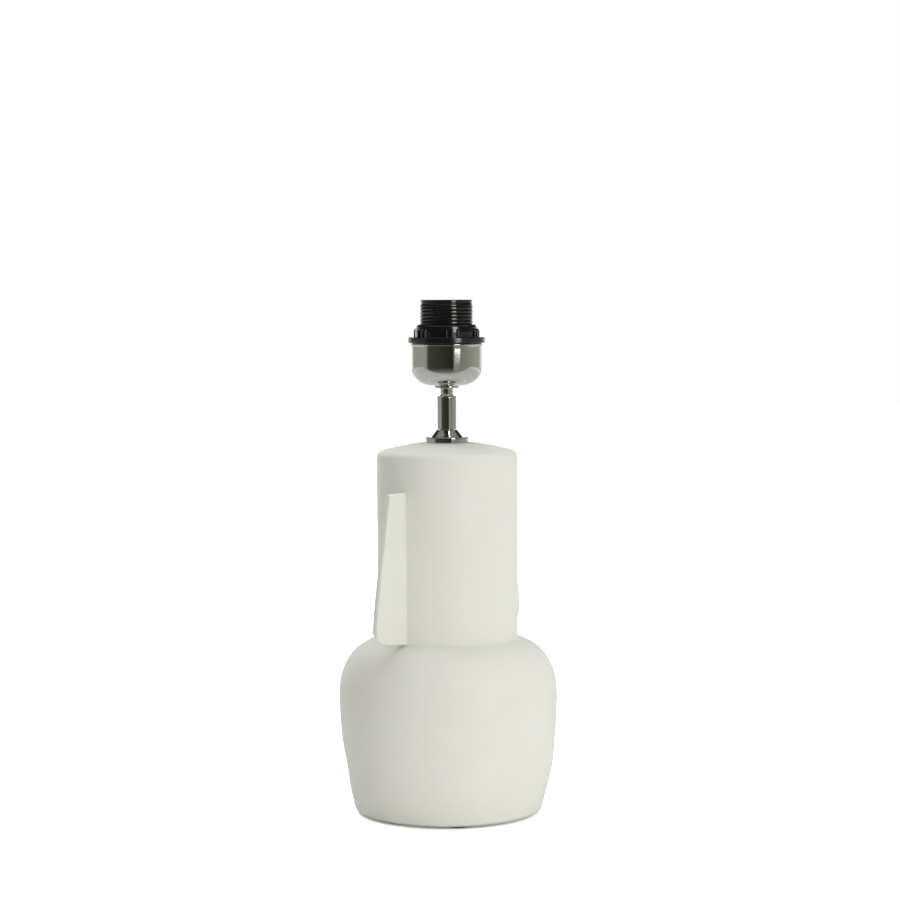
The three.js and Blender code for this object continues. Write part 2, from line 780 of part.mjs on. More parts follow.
// Heights from the ring's underside.
function shadeRing() {
  const top = ringFlangeHeight + ringCollarHeight;
  const shoulderTop = ringFlangeHeight + ringRibHeight;
  const edge = ringFlangeRadius - ringEdgeRadius;
  const flange = turned([
    [0, 0],
    ...arc(edge, ringEdgeRadius, ringEdgeRadius, -90, 0, edgeSteps),
    ...arc(edge, ringFlangeHeight - ringEdgeRadius, ringEdgeRadius, 0, 90, edgeSteps),
    [0, ringFlangeHeight],
  ], fittingFacets);
  const plan = drawnUp(ribbedPlan(), top - ringFlangeHeight / 2).translate(0, 0, ringFlangeHeight / 2);
  const envelope = turned([
    [0, 0],
    [ringRibRadius + cutOverrun, 0],
    [ringRibRadius + cutOverrun, shoulderTop],
    [ringRibRadius, shoulderTop],
    [ringBore + ringTopWidth, top],
    [0, top],
  ], fittingFacets);
  const bore = rod(ringBore, -cutOverrun, top + cutOverrun, fittingFacets);
  return surface(solid(plan)
    .intersect(solid(envelope))
    .add(solid(flange))
    .subtract(solid(bore)));
}

// Finishes

function finish(colour, roughness, metalness) {
  return () => new THREE.MeshStandardMaterial({ color: colour, roughness, metalness });
}

const mattCeramic = finish(0xdedcd0, 0.9, 0);
const chrome = finish(0xd0d0cf, 0.08, 1);
const blackPlastic = finish(0x151413, 0.3, 0);
const steel = finish(0x9a9b9c, 0.4, 1);
const brass = finish(0xb99a54, 0.35, 1);
const felt = finish(0x3a3a3a, 1, 0);
const rubber = finish(0x1c1c1c, 0.8, 0);
const whiteCeramic = finish(0xe9e6dd, 0.5, 0);

// Assembly

const lamp = new THREE.Group();

function place(group, name, geometry, material) {
  const mesh = new THREE.Mesh(tidy(geometry), material());
  mesh.name = name;
  mesh.geometry.computeVertexNormals();
  group.add(mesh);
  return mesh;
}

function level(height, parent = lamp) {
  const group = new THREE.Group();
  group.position.z = height;
  parent.add(group);
  return group;
}

function assembleBase() {
  const base = level(ceramicBase);
  place(base, 'ceramic_body', ceramicBody(), mattCeramic);
  place(base, 'cord_grommet', cordGrommet(), rubber);
  const padCircle = (mouthRadius + footRadius - footEdgeRadius) / 2;
  for (let i = 0; i < padCount; i++) {
    const turn = 2 * Math.PI * (i + 0.5) / padCount;
    const pad = place(lamp, `felt_pad_${i + 1}`, rod(padRadius, 0, padThickness, smallFacets), felt);
    pad.position.set(padCircle * Math.cos(turn), padCircle * Math.sin(turn), 0);
  }
}

function assembleFixing() {
  const cap = level(seatLevel + seatGap);
  place(cap, 'neck_cap', neckCap(), chrome);
  place(cap, 'cap_gasket', capGasket(), rubber);

  const underCeiling = level(ceilingLevel);
  const washerTop = -seatGap;
  const lockTop = washerTop - clampWasherThickness - seatGap;
  const nutTop = lockTop - lockWasherThickness - seatGap;
  place(underCeiling, 'clamp_washer',
    washer(threadBore, clampWasherRadius, washerTop - clampWasherThickness, washerTop, jointFacets), steel);
  place(underCeiling, 'lock_washer',
    washer(threadBore, lockWasherRadius, lockTop - lockWasherThickness, lockTop, smallFacets), steel);
  place(underCeiling, 'clamp_nut', clampNut(), steel).position.z = nutTop - nutHeight;

  const tail = ceilingLevel + nutTop - nutHeight - rodTail;
  place(lamp, 'threaded_rod',
    washer(rodRadius - rodWall, rodRadius, tail, housingBase + housingLedge - rodHeadroom, smallFacets),
    steel);
}

function assembleJoint() {
  const foot = level(housingBase);
  place(foot, 'swivel_housing', swivelHousing(), chrome);
  place(foot, 'seat_screw',
    washer(stackBore, stackRadius, seatScrewBase, seatScrewBase + seatScrewHeight, smallFacets), brass);
  place(foot, 'disc_spring', discSpring(), steel);
  place(foot, 'ball_seat', ballSeat(), brass);
}

function assembleHolder() {
  const holder = level(ballLevel);
  place(holder, 'ball_stem', ballStem(), chrome);
  place(holder, 'stem_collar', stemCollar(), chrome);
  place(holder, 'holder_cup', holderCup(), chrome);
  place(holder, 'entry_bush', entryBush(), steel);
  place(holder, 'grub_screw', grubScrew(), steel);
  place(holder, 'earth_screw', earthScrew(), brass);
  place(holder, 'terminal_block', terminalBlock(), whiteCeramic);
  place(holder, 'live_terminal', terminal(), brass);
  place(holder, 'neutral_terminal', terminal().rotateZ(Math.PI), brass);
  place(holder, 'terminal_screw_1', terminalScrew(), steel);
  place(holder, 'terminal_screw_2', terminalScrew().rotateZ(Math.PI), steel);
  place(holder, 'contact_rivet', rivet(blockTop + seatGap), brass).position.x = contactRivetPlace;
  place(holder, 'shell_rivet', rivet(shellBase + shellWall + seatGap), brass).position.x = -shellRivetPlace;
  place(holder, 'screw_shell', screwShell(), brass);
  place(holder, 'centre_contact', centreContact(), brass);
  place(holder, 'holder_sleeve', holderSleeve(), blackPlastic);
  place(level(ringBase, holder), 'shade_ring', shadeRing(), blackPlastic);
}

assembleBase();
assembleFixing();
assembleJoint();
assembleHolder();

export default lamp;
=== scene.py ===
import json
from math import acos, asin, cos, degrees, exp, hypot, pi, radians, sin, sqrt
import bmesh
import bpy
from mathutils import Euler, Matrix, Vector, noise


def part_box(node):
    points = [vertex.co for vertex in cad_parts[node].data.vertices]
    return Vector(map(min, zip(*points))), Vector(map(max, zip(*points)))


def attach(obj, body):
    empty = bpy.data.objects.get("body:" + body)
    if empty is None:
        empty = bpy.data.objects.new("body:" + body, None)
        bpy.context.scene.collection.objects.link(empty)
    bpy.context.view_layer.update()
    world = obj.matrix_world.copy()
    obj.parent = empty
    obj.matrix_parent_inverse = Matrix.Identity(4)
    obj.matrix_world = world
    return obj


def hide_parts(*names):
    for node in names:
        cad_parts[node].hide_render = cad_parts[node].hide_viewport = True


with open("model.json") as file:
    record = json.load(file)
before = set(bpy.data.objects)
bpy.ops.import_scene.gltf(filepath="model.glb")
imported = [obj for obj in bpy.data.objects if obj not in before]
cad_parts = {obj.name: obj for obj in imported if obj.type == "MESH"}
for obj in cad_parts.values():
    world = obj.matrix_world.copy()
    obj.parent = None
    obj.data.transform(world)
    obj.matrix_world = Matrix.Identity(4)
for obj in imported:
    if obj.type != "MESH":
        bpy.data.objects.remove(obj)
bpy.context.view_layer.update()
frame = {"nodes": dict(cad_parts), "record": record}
milli = 0.001  # pieces are drawn in millimetres and stored in metres
nodes = frame["nodes"]
print("stage: frame loaded")


# levels of a node, read from the frame in mm
def lowOf(node):
    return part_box(node)[0].z / milli


def highOf(node):
    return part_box(node)[1].z / milli


# shader nodes
def newMaterial(name):
    material = bpy.data.materials.new(name)
    material.use_nodes = True
    tree = material.node_tree
    tree.nodes.clear()
    output = tree.nodes.new("ShaderNodeOutputMaterial")
    shader = tree.nodes.new("ShaderNodeBsdfPrincipled")
    tree.links.new(shader.outputs[0], output.inputs["Surface"])
    place = tree.nodes.new("ShaderNodeTexCoord").outputs["Object"]
    return material, tree, shader, place


def noiseNode(tree, place, scale, detail=2.0, rough=0.5):
    node = tree.nodes.new("ShaderNodeTexNoise")
    node.inputs["Scale"].default_value = scale
    node.inputs["Detail"].default_value = detail
    node.inputs["Roughness"].default_value = rough
    tree.links.new(place, node.inputs["Vector"])
    return node.outputs["Fac"]


def stretched(tree, place, scale):
    node = tree.nodes.new("ShaderNodeMapping")
    node.inputs["Scale"].default_value = scale
    tree.links.new(place, node.inputs["Vector"])
    return node.outputs["Vector"]


def ranged(tree, value, low, high, fromLow=0.3, fromHigh=0.7):
    node = tree.nodes.new("ShaderNodeMapRange")
    node.inputs["From Min"].default_value = fromLow
    node.inputs["From Max"].default_value = fromHigh
    node.inputs["To Min"].default_value = low
    node.inputs["To Max"].default_value = high
    tree.links.new(value, node.inputs["Value"])
    return node.outputs["Result"]


def mixed(tree, factor, first, second):
    node = tree.nodes.new("ShaderNodeMix")
    node.data_type = "RGBA"
    tree.links.new(factor, node.inputs[0])
    for socket, value in ((node.inputs[6], first), (node.inputs[7], second)):
        if isinstance(value, bpy.types.NodeSocket):
            tree.links.new(value, socket)
        else:
            socket.default_value = (*value, 1.0)
    return node.outputs[2]


def mathsFor(tree):  # a short way to add Math nodes to one tree
    def maths(operation, first, second=0.0):
        node = tree.nodes.new("ShaderNodeMath")
        node.operation = operation
        for socket, value in zip(node.inputs, (first, second)):
            if isinstance(value, (int, float)):
                socket.default_value = value
            else:
                tree.links.new(value, socket)
        return node.outputs[0]

    return maths


def shaderMix(tree, factor, first, second):
    node = tree.nodes.new("ShaderNodeMixShader")
    for socket, value in zip(node.inputs, (factor, first, second)):
        tree.links.new(value, socket)
    return node.outputs[0]


def bumped(tree, height, distance, strength=1.0, below=None):
    node = tree.nodes.new("ShaderNodeBump")
    node.inputs["Distance"].default_value = distance
    node.inputs["Strength"].default_value = strength
    tree.links.new(height, node.inputs["Height"])
    if below:
        tree.links.new(below, node.inputs["Normal"])
    return node.outputs["Normal"]


def specks(tree, place, scale, size):
    node = tree.nodes.new("ShaderNodeTexVoronoi")
    node.inputs["Scale"].default_value = scale
    tree.links.new(place, node.inputs["Vector"])
    return ranged(tree, node.outputs["Distance"], 1.0, 0.0, size * 0.6, size)


# materials
ceramicLook = {
    "light": (0.799, 0.796, 0.738), "deep": (0.778, 0.773, 0.705), "speck": (0.72, 0.71, 0.66),
    "rough": (0.50, 0.62), "gloss": 0.36, "sheen": 0.10, "cloudScale": 22.0, "grainScale": 900.0,
    "speckScale": 210.0, "speckSize": 0.16, "waveScale": 55.0, "waveDepth": 0.0004, "grainDepth": 0.00006,
}


def makeCeramic():
    s = ceramicLook
    material, tree, shader, place = newMaterial("mattCeramic")
    cloud = noiseNode(tree, place, s["cloudScale"], 3.0)
    grain = noiseNode(tree, place, s["grainScale"], 3.0, 0.6)
    tint = mixed(tree, ranged(tree, cloud, 0.0, 1.0), s["deep"], s["light"])
    dots = specks(tree, place, s["speckScale"], s["speckSize"])
    sparse = ranged(tree, noiseNode(tree, place, 60.0, 1.0), 0.0, 0.55, 0.5, 0.75)  # specks come in patches
    gate = mathsFor(tree)("MULTIPLY", dots, sparse)
    tree.links.new(mixed(tree, gate, tint, s["speck"]), shader.inputs["Base Color"])
    tree.links.new(ranged(tree, grain, *s["rough"]), shader.inputs["Roughness"])
    shader.inputs["IOR"].default_value = 1.45
    shader.inputs["Specular IOR Level"].default_value = s["gloss"]
    shader.inputs["Sheen Weight"].default_value = s["sheen"]
    shader.inputs["Sheen Roughness"].default_value = 0.35
    wave = bumped(tree, noiseNode(tree, place, s["waveScale"], 2.0), s["waveDepth"], 0.35)
    tree.links.new(bumped(tree, grain, s["grainDepth"], 0.6, wave), shader.inputs["Normal"])
    return material


def makeMetal(name, colour, rough, spread, grainScale, grainDepth):
    material, tree, shader, place = newMaterial(name)
    cloud = noiseNode(tree, place, 60.0, 3.0)
    darker = tuple(c * 0.94 for c in colour)
    tree.links.new(mixed(tree, ranged(tree, cloud, 0.0, 1.0), darker, colour), shader.inputs["Base Color"])
    shader.inputs["Metallic"].default_value = 1.0
    fine = noiseNode(tree, stretched(tree, place, (1.0, 1.0, 0.12)), grainScale, 3.0)
    tree.links.new(ranged(tree, fine, rough, rough + spread), shader.inputs["Roughness"])
    tree.links.new(bumped(tree, fine, grainDepth, 0.5), shader.inputs["Normal"])
    return material


def makeSolid(name, colour, rough, spread, grainScale, grainDepth, level=0.5, sheen=0.0):
    material, tree, shader, place = newMaterial(name)
    fine = noiseNode(tree, place, grainScale, 4.0, 0.6)
    cloud = noiseNode(tree, place, 45.0, 2.0)
    darker = tuple(c * 0.86 for c in colour)
    tree.links.new(mixed(tree, ranged(tree, cloud, 0.0, 1.0), darker, colour), shader.inputs["Base Color"])
    tree.links.new(ranged(tree, fine, rough, rough + spread), shader.inputs["Roughness"])
    tree.links.new(bumped(tree, fine, grainDepth, 0.6), shader.inputs["Normal"])
    shader.inputs["Specular IOR Level"].default_value = level
    shader.inputs["Sheen Weight"].default_value = sheen
    return material


# colour, roughness and how far it varies, scale and depth of the grain, then a solid's gloss and sheen
metalLooks = {
    "chrome": ("polishedChrome", (0.62, 0.62, 0.613), 0.045, 0.012, 700.0, 0.0000005),
    "steel": ("zincSteel", (0.58, 0.59, 0.60), 0.28, 0.14, 900.0, 0.00001),
    "brass": ("plainBrass", (0.70, 0.50, 0.23), 0.20, 0.14, 800.0, 0.000008),
}
solidLooks = {
    "black_plastic": ("blackPlastic", (0.0085, 0.0078, 0.0072), 0.15, 0.03, 300.0, 0.0000005, 0.56),
    "rubber": ("blackRubber", (0.022, 0.022, 0.022), 0.62, 0.16, 1300.0, 0.00003, 0.4),
    "felt": ("greyFelt", (0.060, 0.060, 0.062), 0.92, 0.08, 2400.0, 0.0004, 0.2, 0.5),
    "steatite": ("whiteSteatite", (0.80, 0.78, 0.71), 0.42, 0.12, 900.0, 0.00004, 0.5),
}
looks = {"ceramic": makeCeramic()}
looks.update({slot: makeMetal(*values) for slot, values in metalLooks.items()})
looks.update({slot: makeSolid(*values) for slot, values in solidLooks.items()})
print("stage: materials")


# mesh helpers, all in millimetres
def meshFrom(name, points, faces, sharp=35.0):
    mesh = bpy.data.meshes.new(name)
    mesh.from_pydata([tuple(c * milli for c in p) for p in points], [], faces)
    work = bmesh.new()
    work.from_mesh(mesh)
    bmesh.ops.remove_doubles(work, verts=work.verts, dist=1e-7)
    bmesh.ops.recalc_face_normals(work, faces=work.faces)
    work.to_mesh(mesh)
    work.free()
    mesh.shade_smooth()
    mesh.set_sharp_from_angle(angle=radians(sharp))
    mesh.validate()
    return mesh


def addPiece(name, mesh, body, slot, replaced=()):
    piece = bpy.data.objects.new(name, mesh)
    bpy.context.scene.collection.objects.link(piece)
    mesh.materials.clear()
    mesh.materials.append(looks[slot])
    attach(piece, body)
    if replaced:
        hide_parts(*replaced)


def ringFaces(segments, count, closed=True):  # quads between the outlines that stand round a ring
    faces = []
    for j in range(segments):
        a, b = j * count, (j + 1) % segments * count
        for i in range(count if closed else count - 1):
            k = (i + 1) % count
            faces.append((a + i, b + i, b + k, a + k))
    return faces


def stackFaces(layers, count):  # quads between loops laid one on the other, and a face on both ends
    faces = []
    for k in range(layers - 1):
        a, b = k * count, (k + 1) * count
        faces += [(a + i, a + (i + 1) % count, b + (i + 1) % count, b + i) for i in range(count)]
    return faces + [tuple(range(count))[::-1], tuple((layers - 1) * count + i for i in range(count))]


def turned(points, turn):  # round the upright axis
    return [(x * cos(turn) - y * sin(turn), x * sin(turn) + y * cos(turn), z) for x, y, z in points]


holdEdge = 0.2  # extra rows this far from the ends of a straight part keep it flat under smooth shading


def roundedLoop(corners, steps=5, closed=True):  # corners are (r, z, fillet); the loop closes on itself
    groups = []
    count = len(corners)
    for i, (r, z, fillet) in enumerate(corners):
        if fillet <= 0:
            groups.append([(r, z)])
            continue
        here = Vector((r, z))
        before = Vector(corners[i - 1][:2]) - here
        after = Vector(corners[(i + 1) % count][:2]) - here
        turn = before.angle(after)
        reach = min(fillet / max(1e-6, abs(sin(turn / 2) / cos(turn / 2))),
                    before.length * 0.49, after.length * 0.49)
        radius = reach * abs(sin(turn / 2) / cos(turn / 2))
        start = here + before.normalized() * reach
        end = here + after.normalized() * reach
        middle = here + (before.normalized() + after.normalized()).normalized() * hypot(reach, radius)
        a, b = start - middle, end - middle
        sweep = a.angle_signed(b)
        turns = [sweep * k / steps for k in range(steps + 1)]
        groups.append([(middle.x + a.x * cos(t) + a.y * sin(t), middle.y - a.x * sin(t) + a.y * cos(t))
                       for t in turns])
    points = []
    for i, group in enumerate(groups):
        points += group
        here, there = Vector(group[-1]), Vector(groups[(i + 1) % count][0])
        if (there - here).length > 6 * holdEdge and (closed or i < count - 1):
            step = (there - here).normalized() * holdEdge
            points += [tuple(here + step), tuple(there - step)]
    return points


def arcPoints(centreR, centreZ, radius, fromDeg, toDeg, steps):
    return [(centreR + radius * cos(radians(fromDeg + (toDeg - fromDeg) * i / steps)),
             centreZ + radius * sin(radians(fromDeg + (toDeg - fromDeg) * i / steps)))
            for i in range(steps + 1)]


def latheRing(name, outline, segments, lift=0.0, wobble=None):
    points = []
    for j in range(segments):
        turn = 2 * pi * j / segments
        for r, z in outline:
            extra = wobble(r, z, turn) if wobble else 0.0
            points.append(((r + extra) * cos(turn), (r + extra) * sin(turn), z + lift))
    return meshFrom(name, points, ringFaces(segments, len(outline)))


def combined(mesh, tool, operation):
    target = bpy.data.objects.new("work", mesh)
    cutter = bpy.data.objects.new("tool", tool)
    for thing in (target, cutter):
        bpy.context.scene.collection.objects.link(thing)
    step = target.modifiers.new("cut", "BOOLEAN")
    step.object, step.operation, step.solver = cutter, operation, "EXACT"
    graph = bpy.context.evaluated_depsgraph_get()
    made = bpy.data.meshes.new_from_object(target.evaluated_get(graph), depsgraph=graph)
    for thing in (target, cutter):
        bpy.data.objects.remove(thing, do_unlink=True)
    return made


# ceramic body, heights from its underside
bodySizes = {
    "belly": 83.7, "bellyHeight": 90.0, "taper": 11.2, "footEdge": 3.5, "ring": 24.5,
    "shoulderHeight": 42.0, "reachShare": 1.21, "power": 2.15, "neck": 53.7, "wallTop": 270.8,
    "rim": 5.0, "rimSweep": 74.0, "crown": 281.7, "swell": 0.6, "seat": 18.95, "wall": 6.5,
    "neckFillet": 1.2, "mouthEdge": 1.8, "hole": 5.8, "crownWall": 7.0, "insideStep": 23.0,
    "insideCorner": 4.0, "insideFoot": 3.0, "mouthReach": 6.0, "segments": 176,
}


def flankRadius(z, inset=0.0):
    s = bodySizes
    drop = s["bellyHeight"] - s["footEdge"]
    bend = (drop ** 2 + s["taper"] ** 2) / (2 * s["taper"])
    return s["belly"] - inset - bend + sqrt(bend ** 2 - (s["bellyHeight"] - z) ** 2)


def flankPoints(fromZ, inset, steps):
    top = bodySizes["bellyHeight"]
    return [(flankRadius(fromZ + (top - fromZ) * i / steps, inset), fromZ + (top - fromZ) * i / steps)
            for i in range(steps + 1)]


def shoulderPoints(inset, steps):
    s = bodySizes
    reach = (s["belly"] - s["neck"]) * s["reachShare"]
    stop = (1 - (1 - 1 / s["reachShare"]) ** s["power"]) ** (1 / s["power"])
    rise = s["shoulderHeight"] - inset
    made = []
    for i in range(1, steps + 1):
        share = stop * sin(pi / 2 * i / steps)
        drop = reach * (1 - (1 - share ** s["power"]) ** (1 / s["power"]))
        made.append((s["belly"] - inset - drop, s["bellyHeight"] + rise * share))
    return made


def crownPoints(steps):
    s = bodySizes
    rim = arcPoints(s["neck"] - s["rim"], s["wallTop"], s["rim"], 0, s["rimSweep"], 8)
    startR, startZ = rim[-1]
    made = list(rim)
    for i in range(1, steps + 1):
        t = i / steps
        made.append((startR + (s["seat"] - startR) * t,
                     startZ + (s["crown"] - startZ) * t + s["swell"] * 4 * t * (1 - t)))
    return made


def bodyOutline():
    s = bodySizes
    foot = s["belly"] - s["taper"]
    mouth = foot - s["ring"]
    shoulderOut = shoulderPoints(0.0, 36)
    junction = shoulderOut[-1]
    near = [p for p in shoulderOut if p[0] > s["neck"] + s["neckFillet"] * 1.15]
    corner = [(*near[-1], 0.0), (*junction, s["neckFillet"]), (s["neck"], junction[1] + 14.0, 0.0)]
    blend = roundedLoop(corner, 7, False)[1:-2]
    wall = [(s["neck"], z) for z in (150.0, 170.0, 190.0, 210.0, 230.0, 250.0, 262.0)]
    outer = (arcPoints(foot - s["footEdge"], s["footEdge"], s["footEdge"], -90, 0, 8)
             + flankPoints(s["footEdge"], 0.0, 38)[1:] + near + blend
             + [(s["neck"], junction[1] + 8.0)] + wall + crownPoints(14))
    ceiling = s["crown"] - s["crownWall"]
    innerWall, corner, low = s["neck"] - s["wall"], s["insideCorner"], s["insideFoot"]
    outside = mouth + s["mouthReach"]
    inner = ([(s["hole"], s["crown"]), (s["hole"], ceiling), (s["insideStep"], ceiling)]
             + arcPoints(innerWall - corner, s["wallTop"] - s["crownWall"], corner, 90, 0, 6)
             + shoulderPoints(s["wall"], 14)[::-1] + flankPoints(s["wall"] + low, s["wall"], 12)[::-1]
             + [(flankRadius(s["wall"], s["wall"]) - low, s["wall"])]
             + roundedLoop([(outside, s["wall"], 0.0), (mouth, s["wall"], s["mouthEdge"]),
                            (mouth, 0.0, s["mouthEdge"]), (outside, 0.0, 0.0)], 5, False)[1:-1])
    return outer + inner


unevenSizes = {
    "from": 6.0, "to": 279.0, "within": 47.8, "swell": 0.28, "ripple": 0.05,
    "lean": 1.1, "leanHeight": 34.0, "leanReach": 15.0, "leanTurn": 52.0,
}


def handmade(r, z, turn):  # the slight unevenness of a cast and fettled pot
    u = unevenSizes
    if z < u["from"] or z > u["to"] or r < u["within"]:
        return 0.0
    spot = Vector((cos(turn) * 1.3, sin(turn) * 1.3, z / 55.0))
    soft = min(1.0, (z - u["from"]) / 12.0, (u["to"] - z) / 8.0)
    lean = u["lean"] * exp(-((z - u["leanHeight"]) / u["leanReach"]) ** 2) * cos(turn + radians(u["leanTurn"]))
    return soft * (u["swell"] * noise.noise(spot) + u["ripple"] * noise.noise(spot * 4.0) + lean)


finSizes = {
    "thick": 5.4, "thin": 4.2, "edge": 1.05, "root": 50.5, "lift": 0.4, "rise": 4.0, "drop": 24.2,
    "topReach": 17.8, "lowReach": 34.1, "bend": 26.0, "tip": 10.0, "tipShare": 0.48, "topCorner": 3.0,
    "fillet": 1.2, "skew": 1.4,
}


def bezierPoints(a, b, c, steps):
    made = []
    for i in range(1, steps + 1):
        t = i / steps
        made.append(tuple((1 - t) ** 2 * a[k] + 2 * t * (1 - t) * b[k] + t * t * c[k] for k in (0, 1)))
    return made


def finOutline():
    f, s = finSizes, bodySizes
    low = shoulderPoints(0.0, 36)[-1][1] + f["lift"]
    high = s["wallTop"] - f["drop"]
    wide, narrow = s["neck"] + f["lowReach"], s["neck"] + f["topReach"]
    under, straight = low + f["rise"], 1 - f["tipShare"]
    line = [(f["root"], low), (f["root"] + (wide - f["root"]) * straight, low + f["rise"] * straight)]
    line += bezierPoints(line[-1], (wide, under), (wide, under + f["tip"]), 14)
    line += bezierPoints(line[-1], (wide, under + f["bend"]), (narrow, high - f["topCorner"]), 30)
    line += bezierPoints(line[-1], (narrow, high), (narrow - f["topCorner"], high), 8)
    line.append((f["root"], high))
    return line


def insetLine(line, amount):  # moves each point of the outline in along its own normal
    count = len(line)
    made = []
    for i in range(count):
        here = Vector(line[i])
        before = (here - Vector(line[i - 1])).normalized()
        after = (Vector(line[(i + 1) % count]) - here).normalized()
        normal = Vector((-(before.y + after.y), before.x + after.x)).normalized()
        stretch = 1.0 / max(0.5, normal.dot(Vector((-after.y, after.x))))
        made.append(here + normal * amount * stretch)
    return made


def finMesh(turn):
    f = finSizes
    line = finOutline()
    edge, layers = f["edge"], 6
    low, high = line[0][1], line[-1][1]
    rows = []
    for side in (-1, 1):
        for k in range(layers + 1):
            angle = pi / 2 * (k / layers if side > 0 else 1 - k / layers)
            rows.append((side, edge * (sin(angle) - 1), edge * (1 - cos(angle))))
    points = []
    for side, out, inset in rows:
        for r, z in insetLine(line, inset):
            share = max(0.0, min(1.0, (z - low) / (high - low)))
            half = (f["thick"] + (f["thin"] - f["thick"]) * share) / 2
            points.append((r, side * (half + out), z))
    return meshFrom("fin", turned(points, turn), stackFaces(len(rows), len(line)))


def finFillet(turn, side):  # a small hollow strip where the fin's face meets the neck
    f, s = finSizes, bodySizes
    size = f["fillet"]
    outline = finOutline()
    start, stop = outline[0][1], outline[-1][1]
    low, high = start + f["edge"] + 0.6, stop - f["edge"] - 0.4
    levels = [low + (high - low) * t / 10 for t in range(11)]
    points = []
    for z in levels:
        half = (f["thick"] + (f["thin"] - f["thick"]) * (z - start) / (stop - start)) / 2
        base = sqrt(s["neck"] ** 2 - (half + size) ** 2)
        section = [(s["neck"] - 2.5, half - 1.2), (s["neck"] - 2.5, half + size), (base - 0.02, half + size)]
        for i in range(1, 7):
            angle = radians(180 + 90 * i / 6)
            section.append((base + size + size * cos(angle), half + size + size * sin(angle) - 0.004))
        section.append((base + size, half - 1.2))
        points += [(x, y * side, z) for x, y in section]
    return meshFrom("fillet", turned(points, turn), stackFaces(len(levels), len(section)))


ceramicLift = lowOf("ceramic_body")
cordSizes = {"z": 15.0, "hole": 5.0, "bore": 3.2, "flange": 8.0, "lip": 6.5, "plate": 1.6, "gap": 0.3}


def rodAlongY(name, radius, z, fromY, toY, segments):
    points = [(radius * cos(2 * pi * i / segments), y, z + radius * sin(2 * pi * i / segments))
              for y in (fromY, toY) for i in range(segments)]
    faces = [(i, (i + 1) % segments, segments + (i + 1) % segments, segments + i) for i in range(segments)]
    faces += [tuple(range(segments)), tuple(range(segments, 2 * segments))]
    return meshFrom(name, points, faces)


def buildBody():
    mesh = latheRing("ceramicShell", bodyOutline(), bodySizes["segments"], 0.0, handmade)
    for turn in (-radians(finSizes["skew"]), pi):
        mesh = combined(mesh, finMesh(turn), "UNION")
        for side in (-1, 1):
            mesh = combined(mesh, finFillet(turn, side), "UNION")
    mesh = combined(mesh, rodAlongY("cordCut", cordSizes["hole"], cordSizes["z"], 50.0, 90.0, 40), "DIFFERENCE")
    mesh.transform(Matrix.Translation((0, 0, ceramicLift * milli)))
    mesh.shade_smooth()
    mesh.set_sharp_from_angle(angle=radians(32))
    addPiece("ceramicShell", mesh, "base", "ceramic", ("ceramic_body",))


buildBody()



def buildGrommet():
    c = cordSizes
    out, back = c["gap"] + c["plate"], -bodySizes["wall"] - c["gap"]
    section = roundedLoop([
        (c["bore"], back - c["plate"], 0.5), (c["bore"], out, 0.7), (c["flange"], out, 0.7),
        (c["flange"], c["gap"], 0.15), (c["hole"] - c["gap"], c["gap"], 0.0),
        (c["hole"] - c["gap"], back, 0.0), (c["lip"], back, 0.15), (c["lip"], back - c["plate"], 0.6),
    ], 4)
    segments, points = 56, []
    for j in range(segments):
        turn = 2 * pi * j / segments
        for rho, height in section:
            x, z = rho * cos(turn), c["z"] + rho * sin(turn)
            points.append((x, sqrt(flankRadius(z) ** 2 - x ** 2) + height, z + ceramicLift))
    mesh = meshFrom("cordGrommet", points, ringFaces(segments, len(section)))
    addPiece("cordGrommet", mesh, "base", "rubber", ("cord_grommet",))


buildGrommet()
print("stage: ceramic body")

# cap, housing, ball stem, collar and cup
capSizes = {
    "flange": 16.85, "flangeTop": 4.0, "rim": 15.7, "sink": 0.15, "cone": 10.9, "coneFoot": 5.4, "neck": 7.75,
    "height": 9.4, "bore": 5.2, "plate": 1.2, "recess": 6.5, "hollow": 9.6, "hollowTop": 4.6, "hollowFoot": 2.8,
}


def buildCap():
    s = capSizes
    top, under = s["height"], s["height"] - s["plate"]
    outline = roundedLoop([
        (s["rim"], -s["sink"], 0.15), (s["flange"], -s["sink"], 0.3), (s["flange"], s["flangeTop"], 0.7),
        (s["cone"] + 1.1, s["flangeTop"] + 0.1, 0.5), (s["cone"], s["coneFoot"], 0.8), (s["neck"], top, 0.4),
        (s["bore"], top, 0.1), (s["bore"], under, 0.0), (s["recess"], under, 0.2),
        (s["hollow"], s["hollowTop"], 0.2), (s["hollow"], s["hollowFoot"], 0.2), (s["rim"], s["hollowFoot"], 0.3),
    ], 6)
    mesh = latheRing("neckCap", outline, 128, lowOf("neck_cap"))
    addPiece("neckCap", mesh, "base", "chrome", ("neck_cap",))


housingSizes = {
    "radius": 7.55, "bore": 5.2, "floor": 10.3, "ballHeight": 22.9, "cavity": 6.3, "lipRise": 2.6, "lip": 5.76,
}


def buildHousing():
    s = housingSizes
    mouth = degrees(asin(s["lipRise"] / s["cavity"]))
    top = s["ballHeight"] + s["lipRise"]
    inside = arcPoints(0.0, s["ballHeight"], s["cavity"], mouth, 0, 6)
    shell = roundedLoop([
        (s["bore"], 0.0, 0.2), (s["radius"], 0.0, 0.35), (s["radius"], top - 1.0, 0.25), (6.2, top, 0.2),
        (s["lip"], top, 0.12), (5.95, top - 0.6, 0.0),
    ], 5, False)[:-1]
    outline = shell + inside[1:] + [(s["cavity"], s["floor"]), (s["bore"], s["floor"])]
    mesh = latheRing("swivelHousing", outline, 112, lowOf("swivel_housing"))
    addPiece("swivelHousing", mesh, "base", "chrome", ("swivel_housing",))


